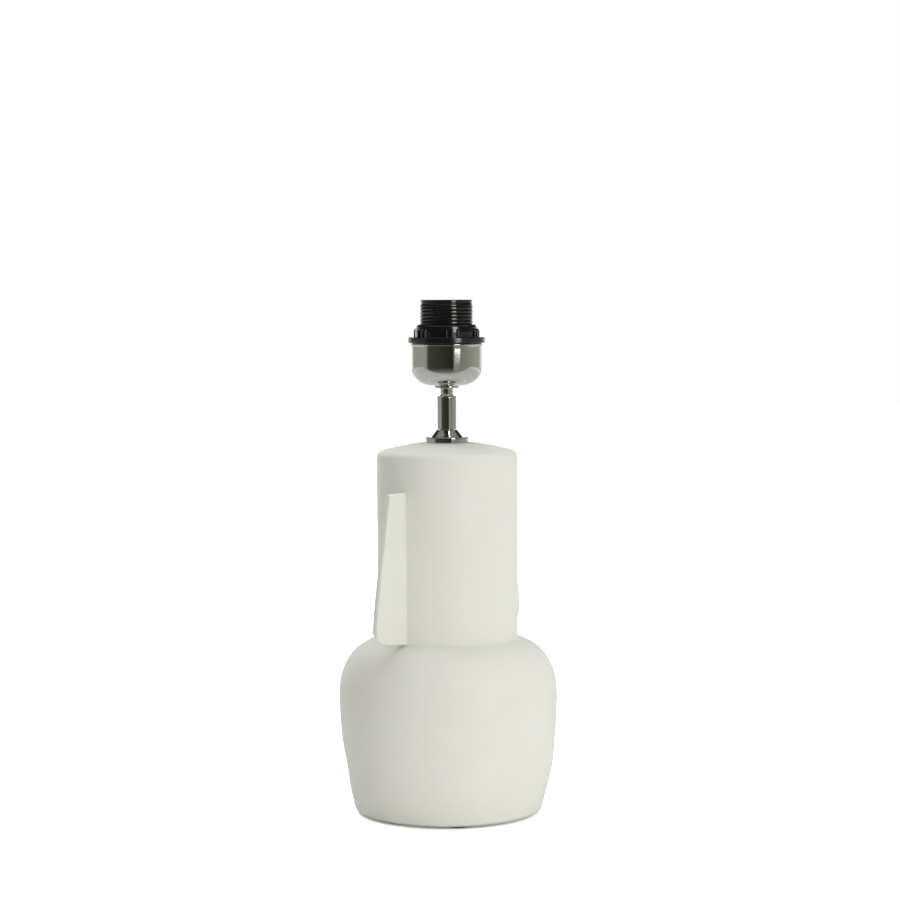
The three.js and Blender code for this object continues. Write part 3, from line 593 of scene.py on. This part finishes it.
def threadRadius(root, depth, pitch, z, turn, start, end, fullness=0.0):
    phase = (z / pitch - turn / (2 * pi)) % 1.0
    # a round wave, or a full crest over a sharp root
    crest = 1.0 - abs(2.0 * phase - 1.0) ** fullness if fullness else 0.5 - 0.5 * cos(2 * pi * phase)
    fade = max(0.0, min(1.0, (z - start) / pitch, (end - z) / pitch))
    return root + depth * crest * fade


def threadRows(start, end, pitch, perTurn):
    count = max(2, round((end - start) / pitch * perTurn))
    return [start + (end - start) * i / count for i in range(count + 1)]


def threadedRing(name, before, after, thread, segments, lift=0.0, fullness=0.0, firstTurn=0.0):
    # thread is (root, depth, pitch, start, end, steps per turn); before and after close the outline
    root, depth, pitch, start, end, perTurn = thread
    rows = threadRows(start, end, pitch, perTurn)
    points = []
    for j in range(segments):
        turn = 2 * pi * j / segments
        line = list(before)
        line += [(threadRadius(root, depth, pitch, z, turn + radians(firstTurn), start, end, fullness), z)
                 for z in rows]
        line += list(after)
        points += [(r * cos(turn), r * sin(turn), z + lift) for r, z in line]
    return meshFrom(name, points, ringFaces(segments, len(line)), 40.0)


stemSizes = {
    "ball": 6.0, "waist": 4.5, "neck": 4.9, "bore": 2.6, "shoulder": 5.3, "rise": 8.4, "length": 10.0,
    "root": 4.35, "depth": 0.55, "pitch": 1.0, "segments": 72,
}


def buildStem():
    s = stemSizes
    neck, rise, root = s["neck"], s["rise"], s["root"]
    quarters = (0.0, 0.25, 0.5, 0.75, 1.0)
    line = arcPoints(0.0, 0.0, s["ball"], -degrees(acos(s["bore"] / s["ball"])),
                     degrees(acos(s["waist"] / s["ball"])), 26)
    foot = line[-1][1]
    line += [(s["waist"] + (neck - s["waist"]) * t * t * (3 - 2 * t), foot + 0.2 + 0.8 * t) for t in quarters]
    line += [(neck, foot + 1.2), (neck, rise - 0.9)]
    line += [(neck + (s["shoulder"] - neck) * t ** 2.2, rise - 0.7 + 0.5 * t) for t in quarters[1:]]
    line += [(s["shoulder"] - 0.05, rise - 0.05), (s["shoulder"] - 0.12, rise), (root, rise)]
    top = rise + s["length"]
    thread = (root, s["depth"], s["pitch"], rise + 0.2, top - 0.2, 7)
    level = lowOf("swivel_housing") + housingSizes["ballHeight"]
    mesh = threadedRing("ballStem", line, [(root, top), (s["bore"], top)], thread, s["segments"], level)
    addPiece("ballStem", mesh, "lampholder", "chrome", ("ball_stem",))


collarSizes = {"bore": 5.2, "radius": 9.5, "thick": 1.7, "edge": 0.55, "boreEdge": 0.1}


def buildCollar():
    s = collarSizes
    outline = roundedLoop([
        (s["bore"], 0.0, s["boreEdge"]), (s["radius"], 0.0, s["edge"]), (s["radius"], s["thick"], s["edge"]),
        (s["bore"], s["thick"], s["boreEdge"]),
    ], 6)
    mesh = latheRing("stemCollar", outline, 96, lowOf("stem_collar"))
    addPiece("stemCollar", mesh, "lampholder", "chrome", ("stem_collar",))


cupSizes = {
    "radius": 27.8, "corner": 16.0, "height": 31.7, "wall": 1.0, "bore": 5.2,
    "flare": 0.42, "flareLength": 3.6, "flarePower": 2.6, "lip": 0.45,
}


def buildCup():
    c = cupSizes
    flat = c["radius"] - c["corner"]
    outer = [(c["bore"], 0.0)] + arcPoints(flat, c["corner"], c["corner"], -90, 0, 24)
    flareLow, flareTop = c["height"] - c["flareLength"], c["height"] - c["lip"]
    for i in range(1, 9):
        outer.append((c["radius"], c["corner"] + (flareLow - c["corner"]) * i / 8))
    for i in range(1, 15):
        t = i / 14
        outer.append((c["radius"] + c["flare"] * t ** c["flarePower"], flareLow + (flareTop - flareLow) * t))
    rim = arcPoints(c["radius"] + c["flare"] - c["lip"], flareTop, c["lip"], 0, 90, 7)[1:]
    rim += [(c["radius"] - c["wall"], c["height"]), (c["radius"] - c["wall"], c["height"] - 3.0)]
    inner = arcPoints(flat, c["corner"], c["corner"] - c["wall"], 0, -90, 20)
    outline = outer + rim + inner + [(c["bore"], c["wall"])]
    mesh = latheRing("holderCup", outline, 144, lowOf("holder_cup"))
    addPiece("holderCup", mesh, "lampholder", "chrome", ("holder_cup",))


buildCap()
buildHousing()
buildStem()
buildCollar()
buildCup()
print("stage: chrome fitting")

# sleeve, shade ring and shell
sleeveSizes = {
    "crest": 20.15, "depth": 1.0, "pitch": 2.71, "fullness": 4.0, "firstTurn": 218.0,
    "bore": 16.6, "lip": 14.3, "lipHeight": 4.3, "height": 33.0,
    "skirtOut": 26.5, "skirtIn": 22.3, "skirt": 15.4, "skirtEdge": 0.3, "ledge": 6.7,
}


def buildSleeve():
    s = sleeveSizes
    shoulder = highOf("holder_sleeve") - s["height"]
    root = s["crest"] - s["depth"]
    low, out, edge, top = -s["skirt"], s["skirtOut"], s["skirtEdge"], s["height"]
    before = [(s["skirtIn"], low), (out - edge, low), (out, low + edge), (out, -edge),
              (out - edge, 0.0), (root, 0.0)]
    after = roundedLoop([
        (root, top - 2.2, 0.0), (s["crest"] - 0.4, top - 2.0, 0.3), (s["crest"] - 0.35, top, 0.9),
        (s["lip"], top, 0.5), (s["lip"], top - s["lipHeight"], 0.2), (s["bore"], top - s["lipHeight"], 0.3),
        (s["bore"], -s["ledge"], 0.2), (s["skirtIn"], -s["ledge"], 0.3), (s["skirtIn"], low, 0.0),
    ], 5, False)[1:-1]
    thread = (root, s["depth"], s["pitch"], 1.2, top - 1.9, 16)
    mesh = threadedRing("holderSleeve", before, after, thread, 128, shoulder, s["fullness"], s["firstTurn"])
    addPiece("holderSleeve", mesh, "lampholder", "black_plastic", ("holder_sleeve",))


ringSizes = {
    "bore": 20.0, "flange": 29.4, "flangeHeight": 4.3, "wall": 23.8, "height": 13.9, "top": 22.5, "dish": 0.7,
    "ribHeight": 4.7, "ribDepth": 1.6, "ribWidth": 1.5, "ribCount": 3, "groups": 6, "pitch": 10.0, "turn": 48.0,
}


def buildRing():
    s = ringSizes
    base = lowOf("shade_ring")
    shoulderTop = s["flangeHeight"] + s["ribHeight"]
    outline = roundedLoop([
        (s["bore"], 0.0, 0.3), (s["flange"], 0.0, 0.6), (s["flange"], s["flangeHeight"], 0.7),
        (s["wall"], s["flangeHeight"], 0.5), (s["wall"] + 0.1, shoulderTop - 0.5, 0.8),
        (s["top"] + 0.55, s["height"] - 1.4, 1.2), (s["top"] - 0.6, s["height"], 0.45),
        (s["bore"], s["height"] - s["dish"], 0.3),
    ], 6)
    addPiece("shadeRing", latheRing("shadeRing", outline, 144, base), "shade_clamp", "black_plastic",
             ("shade_ring",))


def ribMesh():  # one grip rib, upright at +X, with a rounded back that runs out at the top
    s = ringSizes
    half, root = s["ribWidth"] / 2, s["wall"] - 0.6
    low, high = s["flangeHeight"] - 0.4, s["flangeHeight"] + s["ribHeight"] + 1.8
    levels = [(low, 1.0), (high - 2.2, 1.0), (high - 1.4, 0.93),
              (high - 0.7, 0.66), (high - 0.2, 0.30), (high, 0.0)]
    steps, points = 8, []
    for z, size in levels:
        for i in range(steps + 1):
            angle = pi * (i / steps - 0.5)
            out = s["wall"] + s["ribDepth"] * size * cos(angle) ** 0.6
            points.append((out, half * sin(angle), z))
        points += [(root, half, z), (root, -half, z)]
    return meshFrom("rib", points, stackFaces(len(levels), steps + 3), 50.0)


def treeInput(tree, name, kind, value):
    socket = tree.interface.new_socket(name, in_out="INPUT", socket_type=kind)
    socket.default_value = value
    return socket.identifier


def repeatTree(name, material):  # copies of one object round the Z axis, in groups
    tree = bpy.data.node_groups.new(name, "GeometryNodeTree")
    tree.interface.new_socket("Geometry", in_out="INPUT", socket_type="NodeSocketGeometry")
    ids = {
        "item": tree.interface.new_socket("Item", in_out="INPUT", socket_type="NodeSocketObject").identifier,
        "groups": treeInput(tree, "Groups", "NodeSocketInt", 6),
        "inGroup": treeInput(tree, "In group", "NodeSocketInt", 1),
        "pitch": treeInput(tree, "Pitch", "NodeSocketFloat", 0.1),
        "turn": treeInput(tree, "First turn", "NodeSocketFloat", 0.0),
    }
    tree.interface.new_socket("Geometry", in_out="OUTPUT", socket_type="NodeSocketGeometry")
    make, join = tree.nodes.new, tree.links.new
    start, end = make("NodeGroupInput"), make("NodeGroupOutput")
    maths = mathsFor(tree)
    index = make("GeometryNodeInputIndex").outputs[0]
    groups, inGroup = start.outputs["Groups"], start.outputs["In group"]
    group = maths("FLOOR", maths("DIVIDE", maths("ADD", index, 0.5), inGroup))
    inside = maths("SUBTRACT", index, maths("MULTIPLY", group, inGroup))
    middle = maths("MULTIPLY", maths("SUBTRACT", inGroup, 1.0), 0.5)
    step = maths("MULTIPLY", maths("SUBTRACT", inside, middle), start.outputs["Pitch"])
    whole = maths("DIVIDE", maths("MULTIPLY", group, 2 * pi), groups)
    turn = maths("ADD", maths("ADD", whole, step), start.outputs["First turn"])
    points = make("GeometryNodePoints")
    join(maths("MULTIPLY", groups, inGroup), points.inputs["Count"])
    rotation = make("ShaderNodeCombineXYZ")
    join(turn, rotation.inputs["Z"])
    item = make("GeometryNodeObjectInfo")
    join(start.outputs["Item"], item.inputs["Object"])
    copies = make("GeometryNodeInstanceOnPoints")
    join(points.outputs[0], copies.inputs["Points"])
    join(item.outputs["Geometry"], copies.inputs["Instance"])
    join(rotation.outputs[0], copies.inputs["Rotation"])
    real = make("GeometryNodeRealizeInstances")
    join(copies.outputs[0], real.inputs[0])
    paint = make("GeometryNodeSetMaterial")
    paint.inputs["Material"].default_value = material
    join(real.outputs[0], paint.inputs["Geometry"])
    join(paint.outputs[0], end.inputs[0])
    return tree, ids


def repeated(name, itemMesh, slot, groups, inGroup, pitch, turn, lift):
    item = bpy.data.objects.new(name + "Item", itemMesh)
    carrier = bpy.data.objects.new(name + "Carrier", bpy.data.meshes.new(name + "Carrier"))
    for thing in (item, carrier):
        bpy.context.scene.collection.objects.link(thing)
    tree, ids = repeatTree(name + "Tree", looks[slot])
    step = carrier.modifiers.new("repeat", "NODES")
    step.node_group = tree
    step[ids["item"]] = item
    step[ids["groups"]] = groups
    step[ids["inGroup"]] = inGroup
    step[ids["pitch"]] = radians(pitch)
    step[ids["turn"]] = radians(turn)
    graph = bpy.context.evaluated_depsgraph_get()
    made = bpy.data.meshes.new_from_object(carrier.evaluated_get(graph), depsgraph=graph)
    carrier.modifiers.remove(step)
    for thing in (item, carrier):
        bpy.data.objects.remove(thing, do_unlink=True)
    bpy.data.node_groups.remove(tree)
    for vertex in made.vertices:
        vertex.co.z += lift * milli
    return made


def buildRibs():
    s = ringSizes
    mesh = repeated("gripRibs", ribMesh(), "black_plastic", s["groups"], s["ribCount"], s["pitch"],
                    s["turn"], lowOf("shade_ring"))
    mesh.shade_smooth()
    mesh.set_sharp_from_angle(angle=radians(50))
    addPiece("gripRibs", mesh, "shade_clamp", "black_plastic")


shellSizes = {
    "crest": 13.92, "depth": 0.75, "pitch": 3.63, "wall": 0.32, "flangeIn": 9.0, "height": 31.4,
    "segments": 96, "perTurn": 12,
}


def buildShell():
    s = shellSizes
    base = lowOf("screw_shell")
    start, end = 2.0, s["height"] - 0.8
    rows = threadRows(start, end, s["pitch"], s["perTurn"])
    root = s["crest"] - s["depth"]
    points = []
    for j in range(s["segments"]):
        turn = 2 * pi * j / s["segments"]
        wall = [(threadRadius(root, s["depth"], s["pitch"], z, turn, start, end), z) for z in rows]
        line = [(s["flangeIn"], 0.0), (root - 0.6, 0.0), (root, 0.6)] + wall
        line += [(root + 0.25, s["height"]), (root + 0.25 - s["wall"], s["height"])]
        line += [(r - s["wall"], z) for r, z in wall[::-1]]
        line += [(root - s["wall"], 0.9), (root - 0.8, 0.5), (s["flangeIn"], 0.5)]
        points += [(r * cos(turn), r * sin(turn), z + base) for r, z in line]
    mesh = meshFrom("screwShell", points, ringFaces(s["segments"], len(line)), 45.0)
    addPiece("screwShell", mesh, "lampholder", "brass", ("screw_shell",))


buildSleeve()
buildRing()
buildRibs()
buildShell()
print("stage: lampholder")


# inside the neck and under the base
rodSizes = {"bore": 3.5, "root": 4.35, "end": 4.2, "depth": 0.5, "pitch": 1.0}


def buildRod():
    s = rodSizes
    low = lowOf("threaded_rod")
    length = highOf("threaded_rod") - low
    before = [(s["bore"], 0.0), (s["end"], 0.0)]
    after = [(s["end"], length), (s["bore"], length)]
    thread = (s["root"], s["depth"], s["pitch"], 0.3, length - 0.3, 6)
    mesh = threadedRing("threadedRod", before, after, thread, 48, low)
    addPiece("threadedRod", mesh, "base", "steel", ("threaded_rod",))


nutSizes = {"sides": 6, "across": 14.0, "bore": 5.2, "height": 5.0, "chamfer": 7.33, "chamferHeight": 0.35}


def buildNut():
    s = nutSizes
    low, top, cut, side = lowOf("clamp_nut"), s["height"], s["chamferHeight"], 2 * pi / s["sides"]
    segments, points = 72, []
    for j in range(segments):
        turn = 2 * pi * j / segments
        flat = s["across"] / 2 / cos((turn + side / 2) % side - side / 2)
        line = [(min(flat, s["chamfer"]), 0.0), (flat, cut), (flat, top - cut), (min(flat, s["chamfer"]), top),
                (s["bore"], top), (s["bore"], 0.0)]
        points += [(r * cos(turn), r * sin(turn), z + low) for r, z in line]
    mesh = meshFrom("clampNut", points, ringFaces(segments, len(line)), 25.0)
    addPiece("clampNut", mesh, "base", "steel", ("clamp_nut",))


washerSizes = {  # piece, bore, radius and thickness
    "clamp_washer": ("clampWasher", 5.2, 21.0, 2.0),
    "lock_washer": ("lockWasher", 5.2, 8.5, 1.0),
}


def buildWashers():
    for node, (name, bore, radius, thick) in washerSizes.items():
        outline = roundedLoop([(bore, 0.0, 0.1), (radius, 0.0, 0.3), (radius, thick, 0.3), (bore, thick, 0.1)], 4)
        addPiece(name, latheRing(name, outline, 96, lowOf(node)), "base", "steel", (node,))


padSizes = {"radius": 8.0, "thick": 1.5, "edge": 0.35, "place": 58.5, "fuzz": 0.05, "count": 4, "turn": 45.0}


def padMesh():
    s = padSizes
    radius, thick = s["radius"], s["thick"]
    outline = [(0.0, 0.0)] + [(radius * t, 0.0) for t in (0.3, 0.6, 0.85)]
    outline += roundedLoop([(0.0, 0.0, 0.0), (radius, 0.0, s["edge"]), (radius, thick, s["edge"]),
                            (0.0, thick, 0.0)], 4, False)[1:-1]
    outline += [(radius * t, thick) for t in (0.85, 0.6, 0.3)] + [(0.0, thick)]
    segments, points = 44, []
    for j in range(segments):
        turn = 2 * pi * j / segments
        for r, z in outline:
            spot = Vector((r * cos(turn), r * sin(turn), z))
            out = r + (s["fuzz"] * noise.noise(spot * 1.7) if 0.2 < z < thick - 0.2 else 0.0)
            points.append((s["place"] + out * cos(turn), out * sin(turn), z))
    return meshFrom("pad", points, ringFaces(segments, len(outline), False))


def buildPads():
    mesh = repeated("feltPads", padMesh(), "felt", padSizes["count"], 1, 0.0, padSizes["turn"], 0.0)
    mesh.shade_smooth()
    mesh.set_sharp_from_angle(angle=radians(40))
    addPiece("feltPads", mesh, "base", "felt", tuple(f"felt_pad_{i}" for i in (1, 2, 3, 4)))


contactSizes = {  # the tongue from root to tip: reach, height and half its width
    "tongue": [(4.8, 0.25, 2.5), (3.9, 0.4, 2.4), (-0.4, 3.55, 1.9), (-1.4, 3.85, 1.8), (-3.6, 3.85, 1.6),
               (-4.1, 3.75, 0.9)],
    "thick": 0.5, "bevel": 0.12,
}


def buildContact():
    s = contactSizes
    base, half, points = lowOf("centre_contact"), s["thick"] / 2, []
    for x, z, w in s["tongue"]:
        points += [(x, y, base + z + up) for y, up in ((-w, -half), (w, -half), (w, half), (-w, half))]
    mesh = meshFrom("centreContact", points, stackFaces(len(s["tongue"]), 4), 40.0)
    work = bmesh.new()
    work.from_mesh(mesh)
    bmesh.ops.bevel(work, geom=list(work.edges), offset=s["bevel"] * milli, segments=2, affect="EDGES",
                    clamp_overlap=True)
    work.to_mesh(mesh)
    work.free()
    addPiece("centreContact", mesh, "lamp_contact", "brass", ("centre_contact",))


buildRod()
buildNut()
buildWashers()
buildPads()
buildContact()
print("stage: inside and underside")

# CAD nodes that stay get the same materials
slotOf = {row["node"]: row["material_slot"] for row in frame["record"]["subparts"]}
for nodeName, node in nodes.items():
    for holder in node.material_slots:
        holder.material = looks[slotOf[nodeName]]
print("stage: carried-over nodes")


# camera, fitted to the photograph
viewSizes = {
    "turn": -52.0, "distance": 1.8, "height": 0.3968, "pitch": 3.79, "lens": 94.47, "roll": -0.28, "yaw": -0.071,
}


def buildCamera():
    v = viewSizes
    data = bpy.data.cameras.new("photoCamera")
    data.sensor_width = 36.0
    data.lens = v["lens"]
    data.clip_start, data.clip_end = 0.05, 50.0
    camera = bpy.data.objects.new("photoCamera", data)
    bpy.context.scene.collection.objects.link(camera)
    turn = radians(v["turn"])
    camera.location = (sin(turn) * v["distance"], -cos(turn) * v["distance"], v["height"])
    aim = Euler((radians(90 - v["pitch"]), 0, turn + radians(v["yaw"]))).to_matrix()
    roll = Euler((0, 0, radians(v["roll"]))).to_matrix()
    camera.rotation_euler = (aim @ roll).to_euler()
    bpy.context.scene.camera = camera


buildCamera()

# studio: floor, world and lamps
studio = {
    "towards": 218.0, "soft": (0.992, 1.0, 0.968), "softPower": 0.33, "mirrorPower": 1.42, "tentBlue": (0.77, 1.0),
    "floorSize": 6.0, "floorTone": 0.95, "floorSeen": (2.3, 4.2), "seenFrom": (0.15, 0.9),
    "floorMirrored": (0.66, 1.4), "mirroredFrom": (0.8, 2.2),
    "tableFront": 0.33, "tableEdge": 0.1, "tableReach": 2.2,
}
# the tent's panels: turn from the camera to its right, and grey
bands = (
    (-180, 0.95), (-140, 0.9),  # white sweep behind the lamp
    (-130, 0.3), (-70, 0.3),  # grey wall on the left
    (-60, 0.05), (20, 0.02),  # dark room behind the camera
    (25, 0.25), (40, 0.25),  # pale screen beside the camera
    (45, 0.2), (125, 0.35),  # grey wall on the right
    (140, 0.8), (180, 0.95),  # the sweep again
)


def buildWorld():
    world = bpy.data.worlds.new("tent")
    bpy.context.scene.world = world
    world.use_nodes = True
    tree = world.node_tree
    tree.nodes.clear()
    make, join = tree.nodes.new, tree.links.new
    output = make("ShaderNodeOutputWorld")
    direction = make("ShaderNodeTexCoord").outputs["Generated"]
    parts = make("ShaderNodeSeparateXYZ")
    join(direction, parts.inputs[0])
    maths = mathsFor(tree)
    angle = maths("ARCTAN2", parts.outputs["Y"], parts.outputs["X"])
    share = maths("FRACT", maths("ADD", maths("DIVIDE", angle, 2 * pi), 1.5 - studio["towards"] / 360.0))
    ramp = make("ShaderNodeValToRGB")
    ramp.color_ramp.interpolation = "LINEAR"
    elements = ramp.color_ramp.elements
    darkBlue, paleBlue = studio["tentBlue"]
    for i, (turn, grey) in enumerate(bands):
        position = (turn + 180) / 360
        element = elements[i] if i < 2 else elements.new(position)  # a new ramp has two stops
        element.position = position
        element.color = (grey, grey, grey * (darkBlue + (paleBlue - darkBlue) * grey), 1.0)
    join(share, ramp.inputs[0])

    def height(low, high):
        return ranged(tree, parts.outputs["Z"], 0.0, 1.0, low, high)

    dim = mixed(tree, height(0.08, 0.27), ramp.outputs[0], (0.025, 0.025, 0.024))
    over = mixed(tree, height(0.60, 0.74), dim, (0.22, 0.22, 0.216))
    over = mixed(tree, height(-0.30, -0.75), over, (0.17, 0.165, 0.14))

    def background(strength, colour=(1.0, 1.0, 1.0)):
        node = make("ShaderNodeBackground")
        node.inputs["Color"].default_value = (*colour, 1.0)
        node.inputs["Strength"].default_value = strength
        return node

    # diffuse rays meet soft white, mirrors the tent, and the camera plain white
    path = make("ShaderNodeLightPath")
    soft = background(studio["softPower"], studio["soft"])
    mirror, white = background(studio["mirrorPower"]), background(1.0)
    join(over, mirror.inputs["Color"])
    lit = shaderMix(tree, path.outputs["Is Glossy Ray"], soft.outputs[0], mirror.outputs[0])
    join(shaderMix(tree, path.outputs["Is Camera Ray"], lit, white.outputs[0]), output.inputs["Surface"])


def buildFloor():
    s = studio
    size = s["floorSize"]
    mesh = bpy.data.meshes.new("floor")
    mesh.from_pydata([(-size, -size, 0), (size, -size, 0), (size, size, 0), (-size, size, 0)], [], [(0, 1, 2, 3)])
    floorPiece = bpy.data.objects.new("floor", mesh)
    bpy.context.scene.collection.objects.link(floorPiece)
    material = bpy.data.materials.new("paleFloor")
    material.use_nodes = True
    tree = material.node_tree
    tree.nodes.clear()
    make, join, maths = tree.nodes.new, tree.links.new, mathsFor(tree)
    output = make("ShaderNodeOutputMaterial")
    base = make("ShaderNodeBsdfDiffuse")
    path = make("ShaderNodeLightPath")

    # mirrors see a table that ends short of the camera, and the tent past it
    parts = make("ShaderNodeSeparateXYZ")
    join(make("ShaderNodeTexCoord").outputs["Object"], parts.inputs[0])
    x, y = parts.outputs["X"], parts.outputs["Y"]
    angle = radians(s["towards"])
    front = maths("ADD", maths("MULTIPLY", x, cos(angle)), maths("MULTIPLY", y, sin(angle)))
    reach = maths("SQRT", maths("ADD", maths("MULTIPLY", x, x), maths("MULTIPLY", y, y)))

    # the lamps light the middle only, so the tone rises outwards for the camera and for mirrors
    seen = maths("MULTIPLY", ranged(tree, reach, *s["floorSeen"], *s["seenFrom"]), path.outputs["Is Camera Ray"])
    mirrored = maths("MULTIPLY", ranged(tree, reach, *s["floorMirrored"], *s["mirroredFrom"]),
                     path.outputs["Is Glossy Ray"])
    plain = maths("MULTIPLY", path.outputs["Is Diffuse Ray"], s["floorTone"])
    tone = make("ShaderNodeCombineColor")
    for socket in tone.inputs:
        join(maths("ADD", maths("ADD", seen, mirrored), plain), socket)
    join(tone.outputs[0], base.inputs["Color"])
    edge = s["tableEdge"]
    past = maths("MAXIMUM", ranged(tree, front, 0.0, 1.0, s["tableFront"] - edge, s["tableFront"] + edge),
                 maths("GREATER_THAN", reach, s["tableReach"]))
    clear = make("ShaderNodeBsdfTransparent")
    ended = maths("MULTIPLY", past, path.outputs["Is Glossy Ray"])
    join(shaderMix(tree, ended, base.outputs[0], clear.outputs[0]), output.inputs["Surface"])
    mesh.materials.append(material)


# turn from the camera, distance, height, size, power, and the height that the lamp aims at
lamps = {
    "keyBox": (34.3, 1.35, 0.8765, (0.40, 1.10), 12.0, 0.8765),
    "frontFill": (34.3, 1.35, 0.85, (0.4, 1.0), 1.8, 0.85),
    "lowFill": (34.3, 1.35, 0.12, (0.5, 0.2), 5.6, 0.10),
    "rightFill": (88.0, 1.6, 0.35, (1.0, 1.0), 0.8, 0.15),
    "topBox": (0.0, 0.02, 1.9, (1.4, 1.4), 17.0, 0.2),
    "backLeft": (-150.0, 1.2, 1.0, (1.0, 1.0), 7.2, 0.2),
    "backRight": (130.0, 1.4, 0.6, (1.0, 1.0), 3.4, 0.15),
}


def buildLamps():
    for name, (turn, distance, height, size, power, aimHeight) in lamps.items():
        isKey = name == "keyBox"
        data = bpy.data.lights.new(name, "AREA")
        data.shape = "RECTANGLE"
        data.size, data.size_y = size
        data.energy = power
        data.color = (1.0, 0.995, 0.985) if isKey else (1.0, 1.0, 0.995)
        lamp = bpy.data.objects.new(name, data)
        bpy.context.scene.collection.objects.link(lamp)
        angle = radians(studio["towards"] + turn)
        lamp.location = (cos(angle) * distance, sin(angle) * distance, height)
        aim = Vector((0, 0, aimHeight)) - lamp.location
        lamp.rotation_euler = aim.to_track_quat("-Z", "Y").to_euler()
        lamp.visible_diffuse, lamp.visible_glossy = not isKey, isKey  # mirrors see the key box, and only it


buildWorld()
buildFloor()
buildLamps()
bpy.context.scene.view_settings.view_transform = "Standard"
print("stage: studio")
